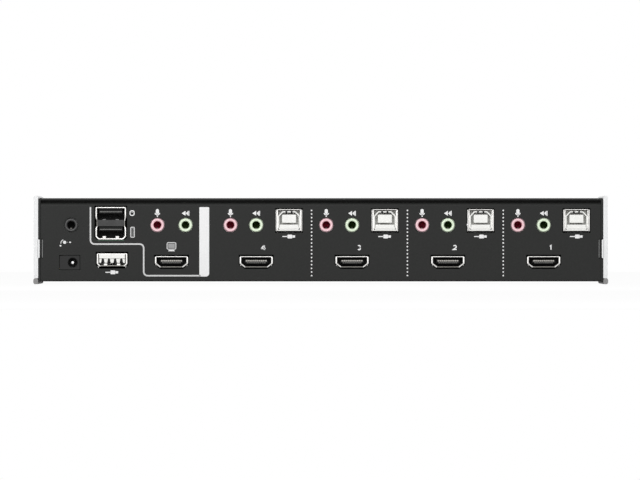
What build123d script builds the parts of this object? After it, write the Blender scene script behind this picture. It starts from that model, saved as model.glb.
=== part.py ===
# A four-port desktop KVM switch: a folded steel case with moulded side cheeks, two stacked
# circuit boards that carry the rear sockets, and a front bezel with sprung pushbuttons.
# Millimetres. +Z up, the connector panel faces -Y, the front bezel faces +Y.
# The origin lies on the standing surface, under the middle of the part.
import os

from build123d import *

os.makedirs("parts", exist_ok=True)

# ---- case ----
case_width = 270.0          # over the foot strips of both side cheeks
case_depth = 154.0          # outer face of the connector panel to outer face of the bezel
case_height = 41.6          # standing surface to the top of the cheeks
cover_drop = 1.2            # top of the cover below the top of the cheeks
base_clear = 1.3            # underside of the case above the standing surface
sheet = 1.0                 # folded steel
bend_radius = 1.6
cover_corner = 0.8
panel_edge = 0.8            # rounding of the connector panel's lower edge
cover_gap = 0.9             # shadow gap between the panel's top edge and the cover
fold_gap = 0.1              # between the cover's sides and the tray
return_depth = 8.0          # the panel's top edge, folded inwards
side_flange = 12.0          # height of the tray's side flanges
front_flange = 7.0
rear_flange = 3.7           # carries the connector panel

# ---- side cheeks ----
cheek_web = 2.0
cheek_gap = 0.1
cheek_neck = 1.7            # web thickness just under the top bead
cheek_hollow = 0.05         # the web's outer face curves in by this much
top_bead = 1.1              # radius
bead_groove = 0.6           # radius of the groove under the top bead
foot_bead = 1.15            # radius
foot_bead_rise = 0.7        # between the bead's lower and upper rounds
foot_step = 0.3             # foot strip beyond the cheek's outer face
foot_flat = 1.0             # width of the flat that the part stands on
foot_height = 2.8
foot_tongue = 0.8
foot_tongue_rise = 1.2
foot_fit = 0.1
tab_low = 12.3              # hook tab at each end of a cheek, above the standing surface
tab_rise = 8.7
tab_reach = 0.7
tab_depth = 3.0
tab_notch = 0.9             # further cut in the panel's edge, inboard of the tab
tab_clear = 0.3
peg_radius = 2.0
peg_spread = 60.0           # between the two pegs of a cheek
peg_drop = 10.4             # pegs below the top of the cover
peg_fit = 0.2

# ---- fasteners ----
screw_shank = 2.9
screw_hole = 3.2
head_radius = 2.7
head_thick = 0.9
head_pocket = 0.2           # clearance of a screw head in the cheek
side_screw_height = 7.5
side_screw_spread = 52.0
side_screw_length = 4.0
board_screw_length = 4.0

# ---- boards ----
board_thick = 1.6
board_inset = 0.8           # between the boards' rear edges and the panel's inner face
board_side_gap = 2.0        # between the boards and the tray's side flanges
main_board_top = 7.0
upper_board_drop = 20.7     # top of the upper board below the top of the cheeks
main_board_depth = 112.0
spacer_across = 5.5         # hexagon, across its flats
spacer_stud = 2.8
spacer_tap = 4.0            # depth of the screw hole in a standoff
spacer_rows = (34.0, 100.0)  # behind the panel's outer face
spacer_side_inset = 5.0
link_width = 32.0
link_depth = 5.0
link_setback = 72.0
chip_size = 14.0
chip_thick = 1.6
chip_setback = 50.0
can_radius = 3.15
can_height = 7.0
can_setback = 120.0
can_pitch = 24.0

# ---- sockets, shared ----
socket_gap = 0.3            # panel cut-out round a socket
nose_reach = 0.9            # the audio jacks' noses beyond the panel
lip_depth = 0.9             # depth of a metal shell's flared mouth
lip_reach = 0.3
shell_wall = 0.4
leg_width = 2.0
leg_setbacks = (3.2, 9.2)   # a shell's solder legs, behind its mouth
insert_back = 2.4           # thickness of the plastic behind the socket's cavity
insert_gap = 0.05

# ---- video socket ----
video_stand = 0.9            # sleeve above the main board
video_width = 14.9
video_height = 5.2
video_slant_run = 2.3
video_slant_rise = 1.8
video_flare = 0.4
video_depth = 11.5
video_tongue_width = 11.2
video_tongue_thick = 1.7
video_tongue_rise = 0.35
video_tongue_setback = 0.9

# ---- flat rectangular data socket ----
flat_stand = 1.4            # sleeve above the main board
flat_width = 13.3
flat_height = 5.8
flat_corner = 1.1
flat_flare = 0.7
flat_depth = 13.6
flat_tongue_width = 11.1
flat_tongue_thick = 2.0
flat_tongue_rise = 0.95
flat_tongue_setback = 0.7
spring_spread = 6.1
spring_width = 1.5
spring_length = 4.0
spring_rise = 0.45
spring_setback = 1.1

# ---- stacked pair of flat sockets ----
stack_stand = 0.4           # sleeve above the upper board
stack_height = 14.6
stack_bridge = 2.7          # insulator between the two openings

# ---- square data socket ----
square_stand = 3.7          # sleeve above the upper board
square_width = 12.1
square_height = 10.6
square_flare = 0.15
square_depth = 14.0
square_hem = 0.4            # the side walls' mouths are folded back inside by this thickness
square_hem_depth = 4.5
square_setback = 1.2        # upper and lower walls behind the panel's face
square_mouth_width = 9.2
square_mouth_height = 7.6
square_mouth_bevel_run = 1.8
square_mouth_bevel_rise = 1.9
square_mouth_foot = 0.6     # bevel of the lower corners
square_collar = 0.45        # wall round the keyed opening
square_floor = 4.0          # thickness of the carrier behind the collar
square_tongue_width = 6.2
square_tongue_thick = 3.7
square_tongue_rise = 0.55
square_notch_width = 0.9
square_notch_depth = 0.9
square_notch_spread = 2.5

# ---- audio jack ----
jack_barrel = 6.2           # diameter
jack_bore = 3.6             # diameter
jack_bore_length = 14.0
jack_stand = 6.9            # bore's centre above the upper board
jack_body_width = 9.0
jack_body_depth = 15.5
jack_body_rise = 4.2        # above the bore's centre
jack_fit = 0.35             # panel hole round the barrel

# ---- supply jack ----
supply_width = 9.2
supply_height = 6.3
supply_depth = 12.0
supply_bore = 4.0           # diameter
supply_bore_length = 9.5
supply_bore_shift = 1.4
supply_pin = 1.5            # diameter
supply_pin_setback = 0.7

# ---- places on the connector panel ----
# the console field's sockets are set out from the panel's left side, and the rest of the panel
# is shared by four equal port bays
port_count = 4
console_field = 83.3        # left side of the cover to the first bay
bay_margin = 1.9            # last bay to the right side of the cover
video_shift = -3.5          # a port's video socket from the middle of its bay
mic_shift = -12.1           # from a port's video socket
square_shift = 15.4
console_inset = 62.5
console_jack_spread = 13.2
stack_inset = 34.0
hub_inset = 34.6
upgrade_inset = 15.4
supply_inset = 14.7

# ---- front ----
bezel_thick = 2.4
bezel_rim = 1.2
bezel_rim_depth = 4.0
bezel_fit = 0.2
bezel_edge = 0.5            # chamfer round the outer face
button_pitch = 20.0
button_first_x = 30.0
mode_x = -60.0
button_z = 15.0
button_width = 11.0
button_height = 5.6
button_corner = 1.0
button_edge = 0.4
button_reach = 1.1          # cap beyond the bezel at rest
button_fit = 0.3
button_lip = 1.0            # retaining lip round the cap
button_lip_thick = 0.8
button_lip_gap = 0.15
button_travel = 0.5
button_spare = 0.4          # left between the lip and the switch at full travel
switch_width = 6.0
switch_height = 3.5
plunger_radius = 1.7
plunger_fit = 0.15
guide_z = 26.0
guide_spread = 5.2
guide_width = 3.0
guide_height = 1.4
guide_head = 0.6            # margin of a guide's head round its window
guide_head_thick = 0.8
guide_fit = 0.1
guide_proud = 0.2
led_size = 1.8
led_thick = 0.9
led_gap = 0.3
front_board_x = -14.0
front_board_width = 118.0
front_board_low = 8.0
front_board_drop = 6.4      # its upper edge below the top of the cover
boss_radius = 2.6
boss_inset = 3.6
front_shelf_width = 62.0    # shelf that carries the front sockets
front_shelf_inset = 11.6    # from the right side of the cover
front_data_inset = 62.6
front_mic_inset = 39.6
front_speaker_inset = 24.6
front_socket_rise = 3.7     # bore or mouth centre above the upper board
front_jack_setback = 0.3    # the front jacks' noses behind the bezel's face

# ---- worked out from these ----
part_depth = case_depth + nose_reach + button_reach
rear_y = nose_reach - part_depth / 2
front_y = part_depth / 2 - button_reach
bezel_back = front_y - bezel_thick
tray_rear = rear_y + sheet
cover_width = case_width - 2 * (foot_step + cheek_web + cheek_gap)
cover_right = cover_width / 2
cover_top = case_height - cover_drop
panel_top = cover_top - sheet - cover_gap
tray_width = cover_width - 2 * (sheet + fold_gap)
base_top = base_clear + sheet
main_board_low = main_board_top - board_thick
upper_board_top = case_height - upper_board_drop
upper_board_low = upper_board_top - board_thick
board_width = tray_width - 2 * (sheet + board_side_gap)
board_rear = rear_y + sheet + board_inset
switch_face = bezel_back - button_lip_gap - button_lip_thick - button_travel - button_spare
front_board_face = switch_face - switch_height
front_board_back = front_board_face - board_thick
upper_board_front = front_board_back - 2 * board_side_gap
front_socket_z = upper_board_top + front_socket_rise
front_board_high = cover_top - front_board_drop
front_board_mid = (front_board_low + front_board_high) / 2
video_z = main_board_top + video_stand + video_height / 2
hub_z = main_board_top + flat_stand + flat_height / 2
stack_z = upper_board_top + stack_stand + stack_height / 2
square_z = upper_board_top + square_stand + square_height / 2
jack_z = upper_board_top + jack_stand
port_bay = (cover_width - console_field - bay_margin) / port_count
first_video_x = console_field + port_bay / 2 + video_shift - cover_right
port_x = {n: first_video_x + port_bay * (port_count - n) for n in range(port_count, 0, -1)}
console_x = console_inset - cover_right
stack_x = stack_inset - cover_right
hub_x = hub_inset - cover_right
upgrade_x = upgrade_inset - cover_right
supply_x = supply_inset - cover_right
front_data_x = cover_right - front_data_inset
front_mic_x = cover_right - front_mic_inset
front_speaker_x = cover_right - front_speaker_inset
front_shelf_x = cover_right - front_shelf_inset - front_shelf_width / 2
button_x = {n: button_first_x - button_pitch * (n - 1) for n in sorted(port_x)}
side_screw_y = [n * side_screw_spread for n in (-1, 0, 1)]
peg_y = [n * peg_spread for n in (-0.5, 0.5)]
peg_z = cover_top - peg_drop
tab_ends = (rear_y, bezel_back)


def save(piece, node):
    piece.part.label = node
    export_step(piece.part, f"parts/{node}.step")


def small_round(radius, mode=Mode.ADD):
    # screws, pegs and their holes are hidden and small, so six sides are enough for them
    RegularPolygon(radius, 6, mode=mode)


def rear_mouth(x, z):
    # on the connector panel's outer face, looking out of the case
    return Plane(origin=(x, rear_y, z), x_dir=(1, 0, 0), z_dir=(0, -1, 0))


def front_mouth(x, z):
    # on the bezel's outer face, looking out of the case
    return Plane(origin=(x, front_y, z), x_dir=(-1, 0, 0), z_dir=(0, 1, 0))


# ---- socket outlines, each centred on its mouth ----
def video_outline(grow=0.0):
    side = video_width / 2
    top = video_height / 2
    with BuildSketch() as outline:
        with BuildLine():
            Polyline(
                (-side, top),
                (side, top),
                (side, video_slant_rise - top),
                (side - video_slant_run, -top),
                (video_slant_run - side, -top),
                (-side, video_slant_rise - top),
                close=True,
            )
        make_face()
        if grow:
            offset(amount=grow, kind=Kind.INTERSECTION)
    return outline.sketch


def chamfered_outline(width, height, grow):
    # square shoulders above, small chamfers below
    with BuildSketch() as outline:
        Rectangle(width, height)
        chamfer(outline.vertices().group_by(Axis.Y)[0], length=flat_corner)
        if grow:
            offset(amount=grow, kind=Kind.INTERSECTION)
    return outline.sketch


def flat_outline(grow=0.0):
    return chamfered_outline(flat_width, flat_height, grow)


def stack_outline(grow=0.0):
    return chamfered_outline(flat_width, stack_height, grow)


def square_outline(grow=0.0):
    with BuildSketch() as outline:
        Rectangle(square_width + 2 * grow, square_height + 2 * grow)
    return outline.sketch


def keyed_outline(grow=0.0):
    # the square socket's opening, with bevelled upper corners and small lower ones
    side = square_mouth_width / 2
    top = square_mouth_height / 2
    low = -top
    with BuildSketch() as outline:
        with BuildLine():
            Polyline(
                (square_mouth_foot - side, low),
                (side - square_mouth_foot, low),
                (side, low + square_mouth_foot),
                (side, top - square_mouth_bevel_rise),
                (side - square_mouth_bevel_run, top),
                (square_mouth_bevel_run - side, top),
                (-side, top - square_mouth_bevel_rise),
                (-side, low + square_mouth_foot),
                close=True,
            )
        make_face()
        if grow:
            offset(amount=grow, kind=Kind.INTERSECTION)
    return outline.sketch


def keyed_cavity():
    # a tongue stands in the opening, and two slots are cut in the collar over it
    top = square_mouth_height / 2
    with BuildSketch() as cavity:
        add(keyed_outline())
        with Locations((0, square_tongue_rise)):
            Rectangle(square_tongue_width, square_tongue_thick, mode=Mode.SUBTRACT)
        with Locations([(side * square_notch_spread / 2, top) for side in (-1, 1)]):
            Rectangle(square_notch_width, 2 * square_notch_depth)
    return cavity.sketch


video_places = {"console": console_x}
video_places.update({f"port_{n}": x for n, x in port_x.items()})
jack_places = {
    "console_mic_jack": console_x - console_jack_spread / 2,
    "console_speaker_jack": console_x + console_jack_spread / 2,
}
for n, x in port_x.items():
    jack_places[f"port_{n}_mic_jack"] = x + mic_shift
    jack_places[f"port_{n}_speaker_jack"] = x

# ---- folded tray: base with low flanges all round ----
with BuildPart() as tray:
    with BuildSketch(Plane.YZ.offset(-tray_width / 2)):
        with BuildLine():
            FilletPolyline(
                (tray_rear, base_clear + rear_flange),
                (tray_rear, base_clear),
                (bezel_back, base_clear),
                (bezel_back, base_clear + front_flange),
                radius=bend_radius,
            )
            offset(amount=sheet, side=Side.LEFT)
        make_face()
    extrude(amount=tray_width)
    # side flanges that take the cover's screws
    for side in (-1, 1):
        with BuildSketch(Plane.XY.offset(base_clear)):
            with Locations((side * (tray_width - sheet) / 2, (tray_rear + bezel_back) / 2)):
                Rectangle(sheet, bezel_back - tray_rear - 2 * bend_radius)
        extrude(amount=side_flange)
    with BuildSketch(Plane.YZ.offset(-tray_width / 2)):
        with Locations([(y, side_screw_height) for y in side_screw_y]):
            small_round(screw_hole / 2)
    extrude(amount=tray_width, mode=Mode.SUBTRACT)
save(tray, "chassis_tray")

# ---- connector panel: a plate with a folded top edge, spot-welded to the tray's rear flange ----
with BuildPart() as panel:
    with BuildSketch(Plane.YZ.offset(-tray_width / 2)):
        with BuildLine():
            FilletPolyline(
                (rear_y, base_clear),
                (rear_y, panel_top),
                (rear_y + return_depth, panel_top),
                radius=bend_radius,
            )
            offset(amount=sheet, side=Side.RIGHT)
        make_face()
    extrude(amount=tray_width)
    lower_edges = panel.edges().filter_by(Axis.X).group_by(Axis.Z)[0]
    fillet(lower_edges.sort_by(Axis.Y)[0], radius=panel_edge)
    # notches for the cheeks' hook tabs
    for side in (-1, 1):
        with BuildSketch(rear_mouth(side * tray_width / 2, tab_low + tab_rise / 2)):
            Rectangle(2 * tab_notch, tab_rise + 2 * tab_clear)
        extrude(amount=-sheet, mode=Mode.SUBTRACT)
    # cut-outs for the sockets
    for x in video_places.values():
        with BuildSketch(rear_mouth(x, video_z)):
            add(video_outline(video_flare + socket_gap))
        extrude(amount=-sheet, mode=Mode.SUBTRACT)
    for x in port_x.values():
        with BuildSketch(rear_mouth(x + square_shift, square_z)):
            add(square_outline(square_flare + socket_gap))
        extrude(amount=-sheet, mode=Mode.SUBTRACT)
    with BuildSketch(rear_mouth(stack_x, stack_z)):
        add(stack_outline(flat_flare + socket_gap))
    extrude(amount=-sheet, mode=Mode.SUBTRACT)
    with BuildSketch(rear_mouth(hub_x, hub_z)):
        add(flat_outline(flat_flare + socket_gap))
    extrude(amount=-sheet, mode=Mode.SUBTRACT)
    with BuildSketch(rear_mouth(0, jack_z)):
        with Locations([(x, 0) for x in [*jack_places.values(), upgrade_x]]):
            Circle(jack_barrel / 2 + jack_fit)
    extrude(amount=-sheet, mode=Mode.SUBTRACT)
    with BuildSketch(rear_mouth(supply_x, main_board_top + supply_height / 2)):
        Rectangle(supply_width + 2 * socket_gap, supply_height + 2 * socket_gap)
    extrude(amount=-sheet, mode=Mode.SUBTRACT)
save(panel, "connector_panel")

# ---- folded cover: an inverted channel over the tray ----
with BuildPart() as cover:
    with BuildSketch(Plane.XZ.offset(-rear_y)) as cover_section:
        with Locations((0, (base_clear + cover_top) / 2)):
            Rectangle(cover_width, cover_top - base_clear)
        fillet(cover_section.vertices().group_by(Axis.Y)[-1], radius=cover_corner)
        offset(amount=-sheet, mode=Mode.SUBTRACT)
        with Locations((0, base_clear + sheet / 2)):
            Rectangle(cover_width - 2 * sheet, sheet, mode=Mode.SUBTRACT)
    extrude(amount=rear_y - bezel_back)
    # notches for the hook tabs and holes for the pegs and screws
    for end, inward in zip(tab_ends, (1, -1)):
        with BuildSketch(Plane.YZ.offset(-cover_width / 2)):
            with Locations((end, tab_low + tab_rise / 2)):
                Rectangle(2 * (tab_depth + tab_clear), tab_rise + 2 * tab_clear)
        extrude(amount=cover_width, mode=Mode.SUBTRACT)
    with BuildSketch(Plane.YZ.offset(-cover_width / 2)):
        with Locations([(y, side_screw_height) for y in side_screw_y]):
            small_round(screw_hole / 2)
        with Locations([(y, peg_z) for y in peg_y]):
            small_round(peg_radius + peg_fit)
    extrude(amount=cover_width, mode=Mode.SUBTRACT)
save(cover, "top_cover")


# ---- moulded side cheeks, beaded along the top, hooked into the case at both ends ----
def side_cheek(node, side):
    inner = cover_width / 2 + cheek_gap
    outer = inner + cheek_web
    neck_z = case_height - 2 * top_bead
    with BuildPart() as cheek:
        with BuildSketch(Plane.XZ.offset(-rear_y)):
            with BuildLine():
                neck = (side * (inner + cheek_neck), neck_z)
                waist = (side * (outer - cheek_hollow), (foot_height + neck_z) / 2)
                toe = (side * outer, foot_height)
                ThreePointArc(neck, waist, toe)
                Polyline(toe, (side * inner, foot_height), (side * inner, neck_z + top_bead), neck)
            make_face()
            with Locations((side * (inner + top_bead), case_height - top_bead)):
                Circle(top_bead)
            with Locations((side * outer, neck_z)):
                Circle(bead_groove, mode=Mode.SUBTRACT)
            # slot for the foot strip's tongue
            with Locations((side * (case_width / 2 - foot_bead), foot_height)):
                Rectangle(
                    foot_tongue + 2 * foot_fit,
                    2 * (foot_tongue_rise + foot_fit),
                    mode=Mode.SUBTRACT,
                )
        extrude(amount=-case_depth)
        # hook tabs at the panel end and at the bezel end
        for end, inward in zip(tab_ends, (1, -1)):
            with BuildSketch(Plane.XY.offset(tab_low)):
                with Locations((side * (inner - tab_reach / 2), end + inward * tab_depth / 2)):
                    Rectangle(tab_reach, tab_depth)
            extrude(amount=tab_rise)
        # pegs into the cover and pockets for the screw heads
        with BuildSketch(Plane.YZ.offset(side * inner)):
            with Locations([(y, peg_z) for y in peg_y]):
                small_round(peg_radius)
        extrude(amount=-side * (sheet + cheek_gap))
        with BuildSketch(Plane.YZ.offset(side * inner)):
            with Locations([(y, side_screw_height) for y in side_screw_y]):
                small_round(head_radius + head_pocket)
        extrude(amount=side * (head_thick + head_pocket), mode=Mode.SUBTRACT)
    save(cheek, node)


side_cheek("left_cheek", -1)
side_cheek("right_cheek", 1)

# ---- soft strips under the cheeks, which the part stands on ----
foot_centre_z = (foot_bead**2 - (foot_flat / 2) ** 2) ** 0.5
with BuildPart() as feet:
    with BuildSketch(Plane.XZ.offset(-rear_y)) as foot_section:
        for side in (-1, 1):
            foot_x = side * (case_width / 2 - foot_bead)
            with Locations((foot_x, foot_centre_z), (foot_x, foot_centre_z + foot_bead_rise)):
                Circle(foot_bead)
            with Locations((foot_x, foot_centre_z + foot_bead_rise / 2)):
                Rectangle(2 * foot_bead, foot_bead_rise)
            with Locations((foot_x, foot_height + foot_tongue_rise / 2)):
                Rectangle(foot_tongue, foot_tongue_rise)
        # flat underneath, and flat above where it meets the cheek
        with Locations((0, -foot_bead)):
            Rectangle(case_width, 2 * foot_bead, mode=Mode.SUBTRACT)
        for side in (-1, 1):
            for flank in (-1, 1):
                flank_x = side * (case_width / 2 - foot_bead) + flank * (foot_tongue + foot_bead) / 2
                with Locations((flank_x, foot_height + foot_bead / 2)):
                    Rectangle(foot_bead, foot_bead, mode=Mode.SUBTRACT)
    extrude(amount=-case_depth)
save(feet, "rubber_feet")

# ---- screws through the cover's sides, hidden by the cheeks ----
with BuildPart() as case_screws:
    for side in (-1, 1):
        with BuildSketch(Plane.YZ.offset(side * cover_width / 2)):
            with Locations([(y, side_screw_height) for y in side_screw_y]):
                small_round(head_radius)
        extrude(amount=side * head_thick)
        with BuildSketch(Plane.YZ.offset(side * cover_width / 2)):
            with Locations([(y, side_screw_height) for y in side_screw_y]):
                small_round(screw_shank / 2)
        extrude(amount=-side * side_screw_length)
save(case_screws, "case_screws")

# ---- boards ----
spacer_x = (spacer_side_inset - board_width / 2, 0, board_width / 2 - spacer_side_inset)
spacer_places = [(x, rear_y + row) for x in spacer_x for row in spacer_rows]
front_screw_places = [
    (front_board_x + side * (front_board_width / 2 - boss_inset), z)
    for side in (-1, 1)
    for z in (front_board_low + boss_inset, front_board_high - boss_inset)
]

with BuildPart() as main_board:
    with BuildSketch(Plane.XY.offset(main_board_low)):
        with Locations((0, board_rear + main_board_depth / 2)):
            Rectangle(board_width, main_board_depth)
        with Locations(spacer_places):
            small_round(screw_hole / 2, mode=Mode.SUBTRACT)
    extrude(amount=board_thick)
save(main_board, "main_board")

with BuildPart() as upper_board:
    with BuildSketch(Plane.XY.offset(upper_board_low)):
        with Locations((0, (board_rear + upper_board_front) / 2)):
            Rectangle(board_width, upper_board_front - board_rear)
        # the shelf that carries the front sockets
        with Locations((front_shelf_x, (upper_board_front + bezel_back) / 2 - board_inset)):
            Rectangle(front_shelf_width, bezel_back - upper_board_front)
        with Locations(spacer_places):
            small_round(screw_hole / 2, mode=Mode.SUBTRACT)
    extrude(amount=board_thick)
save(upper_board, "upper_board")

with BuildPart() as front_board:
    with BuildSketch(Plane.XZ.offset(-front_board_face)):
        with Locations((front_board_x, front_board_mid)):
            Rectangle(front_board_width, front_board_high - front_board_low)
        with Locations(front_screw_places):
            small_round(screw_hole / 2, mode=Mode.SUBTRACT)
    extrude(amount=board_thick)
save(front_board, "front_board")

with BuildPart() as spacers:
    # short posts from the base to the main board, hexagonal standoffs from there to the upper one
    for low, high in ((base_top, main_board_low), (main_board_top, upper_board_low)):
        with BuildSketch(Plane.XY.offset(low)):
            with Locations(spacer_places):
                RegularPolygon(spacer_across / 2, 6, major_radius=False)
        extrude(amount=high - low)
    # each standoff's stud stands through the main board, on its post
    with BuildSketch(Plane.XY.offset(main_board_low)):
        with Locations(spacer_places):
            small_round(spacer_stud / 2)
    extrude(amount=board_thick)
    with BuildSketch(Plane.XY.offset(upper_board_low)):
        with Locations(spacer_places):
            small_round(screw_hole / 2)
    extrude(amount=-spacer_tap, mode=Mode.SUBTRACT)
save(spacers, "board_spacers")

with BuildPart() as board_screws:
    for radius, length in ((head_radius, head_thick), (screw_shank / 2, -board_screw_length)):
        with BuildSketch(Plane.XY.offset(upper_board_top)):
            with Locations(spacer_places):
                small_round(radius)
        extrude(amount=length)
        with BuildSketch(Plane.XZ.offset(-front_board_back)):
            with Locations(front_screw_places):
                small_round(radius)
        extrude(amount=length)
save(board_screws, "board_screws")

guide_places = [
    (x + side * guide_spread / 2, guide_z) for x in button_x.values() for side in (-1, 1)
]
guide_places.append((mode_x, guide_z))
with BuildPart() as components:
    # plug-in links between the main board and the upper board, and from there to the front board
    with BuildSketch(Plane.XY.offset(main_board_top)):
        with Locations((front_board_x, rear_y + link_setback)):
            Rectangle(link_width, link_depth)
    extrude(amount=upper_board_low - main_board_top)
    with BuildSketch(Plane.XY.offset(upper_board_top)):
        with Locations((front_board_x, front_board_back - link_depth)):
            Rectangle(link_width, 2 * link_depth)
    extrude(amount=link_depth)
    # a switching chip for each port and one for the console, on the main board
    with BuildSketch(Plane.XY.offset(main_board_top)):
        with Locations([(x, rear_y + chip_setback) for x in video_places.values()]):
            Rectangle(chip_size, chip_size)
    extrude(amount=chip_thick)
    # capacitor cans on the upper board
    with BuildSketch(Plane.XY.offset(upper_board_top)):
        with Locations([(console_x + n * can_pitch, rear_y + can_setback) for n in (0, 1)]):
            RegularPolygon(can_radius, 12)
    extrude(amount=can_height)
    # an LED behind each light guide
    with BuildSketch(Plane.XZ.offset(-front_board_face)):
        with Locations(guide_places):
            Rectangle(led_size, led_size)
    extrude(amount=-led_thick)
save(components, "board_components")

# ---- front bezel ----
all_buttons = [*button_x.values(), mode_x]
with BuildPart() as bezel:
    with BuildSketch(Plane.XZ.offset(-bezel_back)):
        with Locations((0, (base_clear + cover_top) / 2)):
            Rectangle(cover_width, cover_top - base_clear)
    extrude(amount=-bezel_thick)
    chamfer(bezel.faces().sort_by(Axis.Y)[-1].edges(), length=bezel_edge)
    # rim that tucks inside the cover
    rim_width = cover_width - 2 * (sheet + bezel_fit)
    rim_top = cover_top - sheet - bezel_fit
    rim_low = base_clear + side_flange + bezel_fit
    with BuildSketch(Plane.XZ.offset(-bezel_back)):
        with Locations((0, (rim_low + rim_top) / 2)):
            Rectangle(rim_width, rim_top - rim_low)
            Rectangle(
                rim_width - 2 * bezel_rim,
                rim_top - rim_low - 2 * bezel_rim,
                mode=Mode.SUBTRACT,
            )
        with Locations((0, rim_low + bezel_rim / 2)):
            Rectangle(rim_width, bezel_rim, mode=Mode.SUBTRACT)
    extrude(amount=bezel_rim_depth)
    # the rim is cut away for the cheeks' hook tabs
    for side in (-1, 1):
        with BuildSketch(Plane.XY.offset(tab_low - tab_clear)):
            with Locations((side * rim_width / 2, bezel_back - bezel_rim_depth / 2)):
                Rectangle(2 * bezel_rim + 2 * tab_clear, bezel_rim_depth)
        extrude(amount=tab_rise + 2 * tab_clear, mode=Mode.SUBTRACT)
    # bosses that carry the front board
    with BuildSketch(Plane.XZ.offset(-bezel_back)):
        with Locations(front_screw_places):
            small_round(boss_radius)
            small_round(screw_hole / 2, mode=Mode.SUBTRACT)
    extrude(amount=bezel_back - front_board_face)
    # openings for the caps, the light guides and the front sockets
    with BuildSketch(Plane.XZ.offset(-bezel_back)):
        with Locations([(x, button_z) for x in all_buttons]):
            Rectangle(button_width + 2 * button_fit, button_height + 2 * button_fit)
        with Locations(guide_places):
            Rectangle(guide_width + 2 * guide_fit, guide_height + 2 * guide_fit)
        with Locations([(x, front_socket_z) for x in (front_mic_x, front_speaker_x)]):
            Circle(jack_barrel / 2 + jack_fit)
        with Locations((front_data_x, front_socket_z)):
            Rectangle(
                flat_width + 2 * (flat_flare + socket_gap),
                flat_height + 2 * (flat_flare + socket_gap),
            )
    extrude(amount=-bezel_thick, mode=Mode.SUBTRACT)
save(bezel, "front_bezel")

# ---- light guides ----
guide_tail = bezel_back - front_board_face - led_thick - led_gap
with BuildPart() as guides:
    # window, then the head behind the bezel, then the tail that reaches back to its LED
    guide_window = -bezel_thick - guide_proud
    for margin, length in ((0, guide_window), (guide_head, guide_head_thick), (0, guide_tail)):
        with BuildSketch(Plane.XZ.offset(-bezel_back)):
            with Locations(guide_places):
                Rectangle(guide_width + 2 * margin, guide_height + 2 * margin)
        extrude(amount=length)
save(guides, "light_guides")

# ---- tact switches on the front board ----
plunger_sink = button_travel + 2 * button_spare
with BuildPart() as switches:
    with BuildSketch(Plane.XZ.offset(-front_board_face)):
        with Locations([(x, button_z) for x in all_buttons]):
            Rectangle(switch_width, switch_width)
    extrude(amount=-switch_height)
    with BuildSketch(Plane.XZ.offset(-switch_face)):
        with Locations([(x, button_z) for x in all_buttons]):
            small_round(plunger_radius + plunger_fit)
    extrude(amount=plunger_sink, mode=Mode.SUBTRACT)
save(switches, "tact_switches")


# ---- pushbuttons: cap, retaining lip and the plunger that it bears on ----
def pushbutton(node, x):
    lip_front = bezel_back - button_lip_gap
    lip_back = lip_front - button_lip_thick
    with BuildPart() as button:
        with BuildSketch(Plane.XZ.offset(-lip_back)):
            with Locations((x, button_z)):
                Rectangle(button_width + 2 * button_lip, button_height + 2 * button_lip)
        extrude(amount=-button_lip_thick)
        with BuildSketch(Plane.XZ.offset(-lip_front)) as cap:
            with Locations((x, button_z)):
                Rectangle(button_width, button_height)
            chamfer(cap.vertices(), length=button_corner)
        extrude(amount=lip_front - front_y - button_reach)
        chamfer(button.faces().sort_by(Axis.Y)[-1].edges(), length=button_edge)
        with BuildSketch(Plane.XZ.offset(-lip_back)):
            with Locations((x, button_z)):
                small_round(plunger_radius)
        extrude(amount=lip_back - switch_face + button_spare)
    save(button, node)


for n, x in button_x.items():
    pushbutton(f"port_button_{n}", x)
pushbutton("mode_button", mode_x)


# ---- sockets ----
def flared_tube(mouth, outline, flare, depth):
    # a thin metal sleeve behind the mouth, flared at its open end
    for grow, mode in ((0.0, Mode.ADD), (-shell_wall, Mode.SUBTRACT)):
        with BuildSketch(mouth.offset(-lip_depth)) as throat:
            add(outline(grow))
        with BuildSketch(mouth.offset(lip_reach)) as lip:
            add(outline(grow + flare))
        extrude(throat.sketch, amount=lip_depth - depth, mode=mode)
        loft([throat.sketch.face(), lip.sketch.face()], mode=mode)


def solder_legs(mouth, width, board_top):
    # down the sleeve's sides to the board
    centre = mouth.origin
    inward = -mouth.z_dir.Y
    with BuildSketch(Plane.XY.offset(board_top)) as feet_on_board:
        for side in (-1, 1):
            leg_x = centre.X + side * (width - shell_wall) / 2
            with Locations([(leg_x, centre.Y + inward * setback) for setback in leg_setbacks]):
                Rectangle(shell_wall, leg_width)
    extrude(feet_on_board.sketch, amount=centre.Z - board_top)


def floor_springs(mouth, floor):
    # two tabs pressed up from the sleeve's floor, which grip the plug
    inward = -mouth.z_dir
    for side in (-1, 1):
        start = mouth.origin + inward * spring_setback + Vector(side * spring_spread / 2, 0, floor)
        with BuildSketch(Plane(origin=start, x_dir=inward, z_dir=(inward.Y, 0, 0))) as spring:
            with BuildLine():
                Polyline((0, 0), (spring_length / 3, spring_rise), (spring_length, 0), close=True)
            make_face()
        extrude(spring.sketch, amount=spring_width / 2, both=True)


def video_socket(name, mouth, board_top):
    with BuildPart() as shell:
        flared_tube(mouth, video_outline, video_flare, video_depth)
        solder_legs(mouth, video_width, board_top)
    save(shell, f"{name}_video_shell")
    with BuildPart() as insert:
        with BuildSketch(mouth.offset(-video_depth)):
            add(video_outline(-shell_wall - insert_gap))
        extrude(amount=insert_back)
        with BuildSketch(mouth.offset(-video_depth)):
            with Locations((0, video_tongue_rise)):
                Rectangle(video_tongue_width, video_tongue_thick)
        extrude(amount=video_depth - video_tongue_setback)
    save(insert, f"{name}_video_insert")


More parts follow.
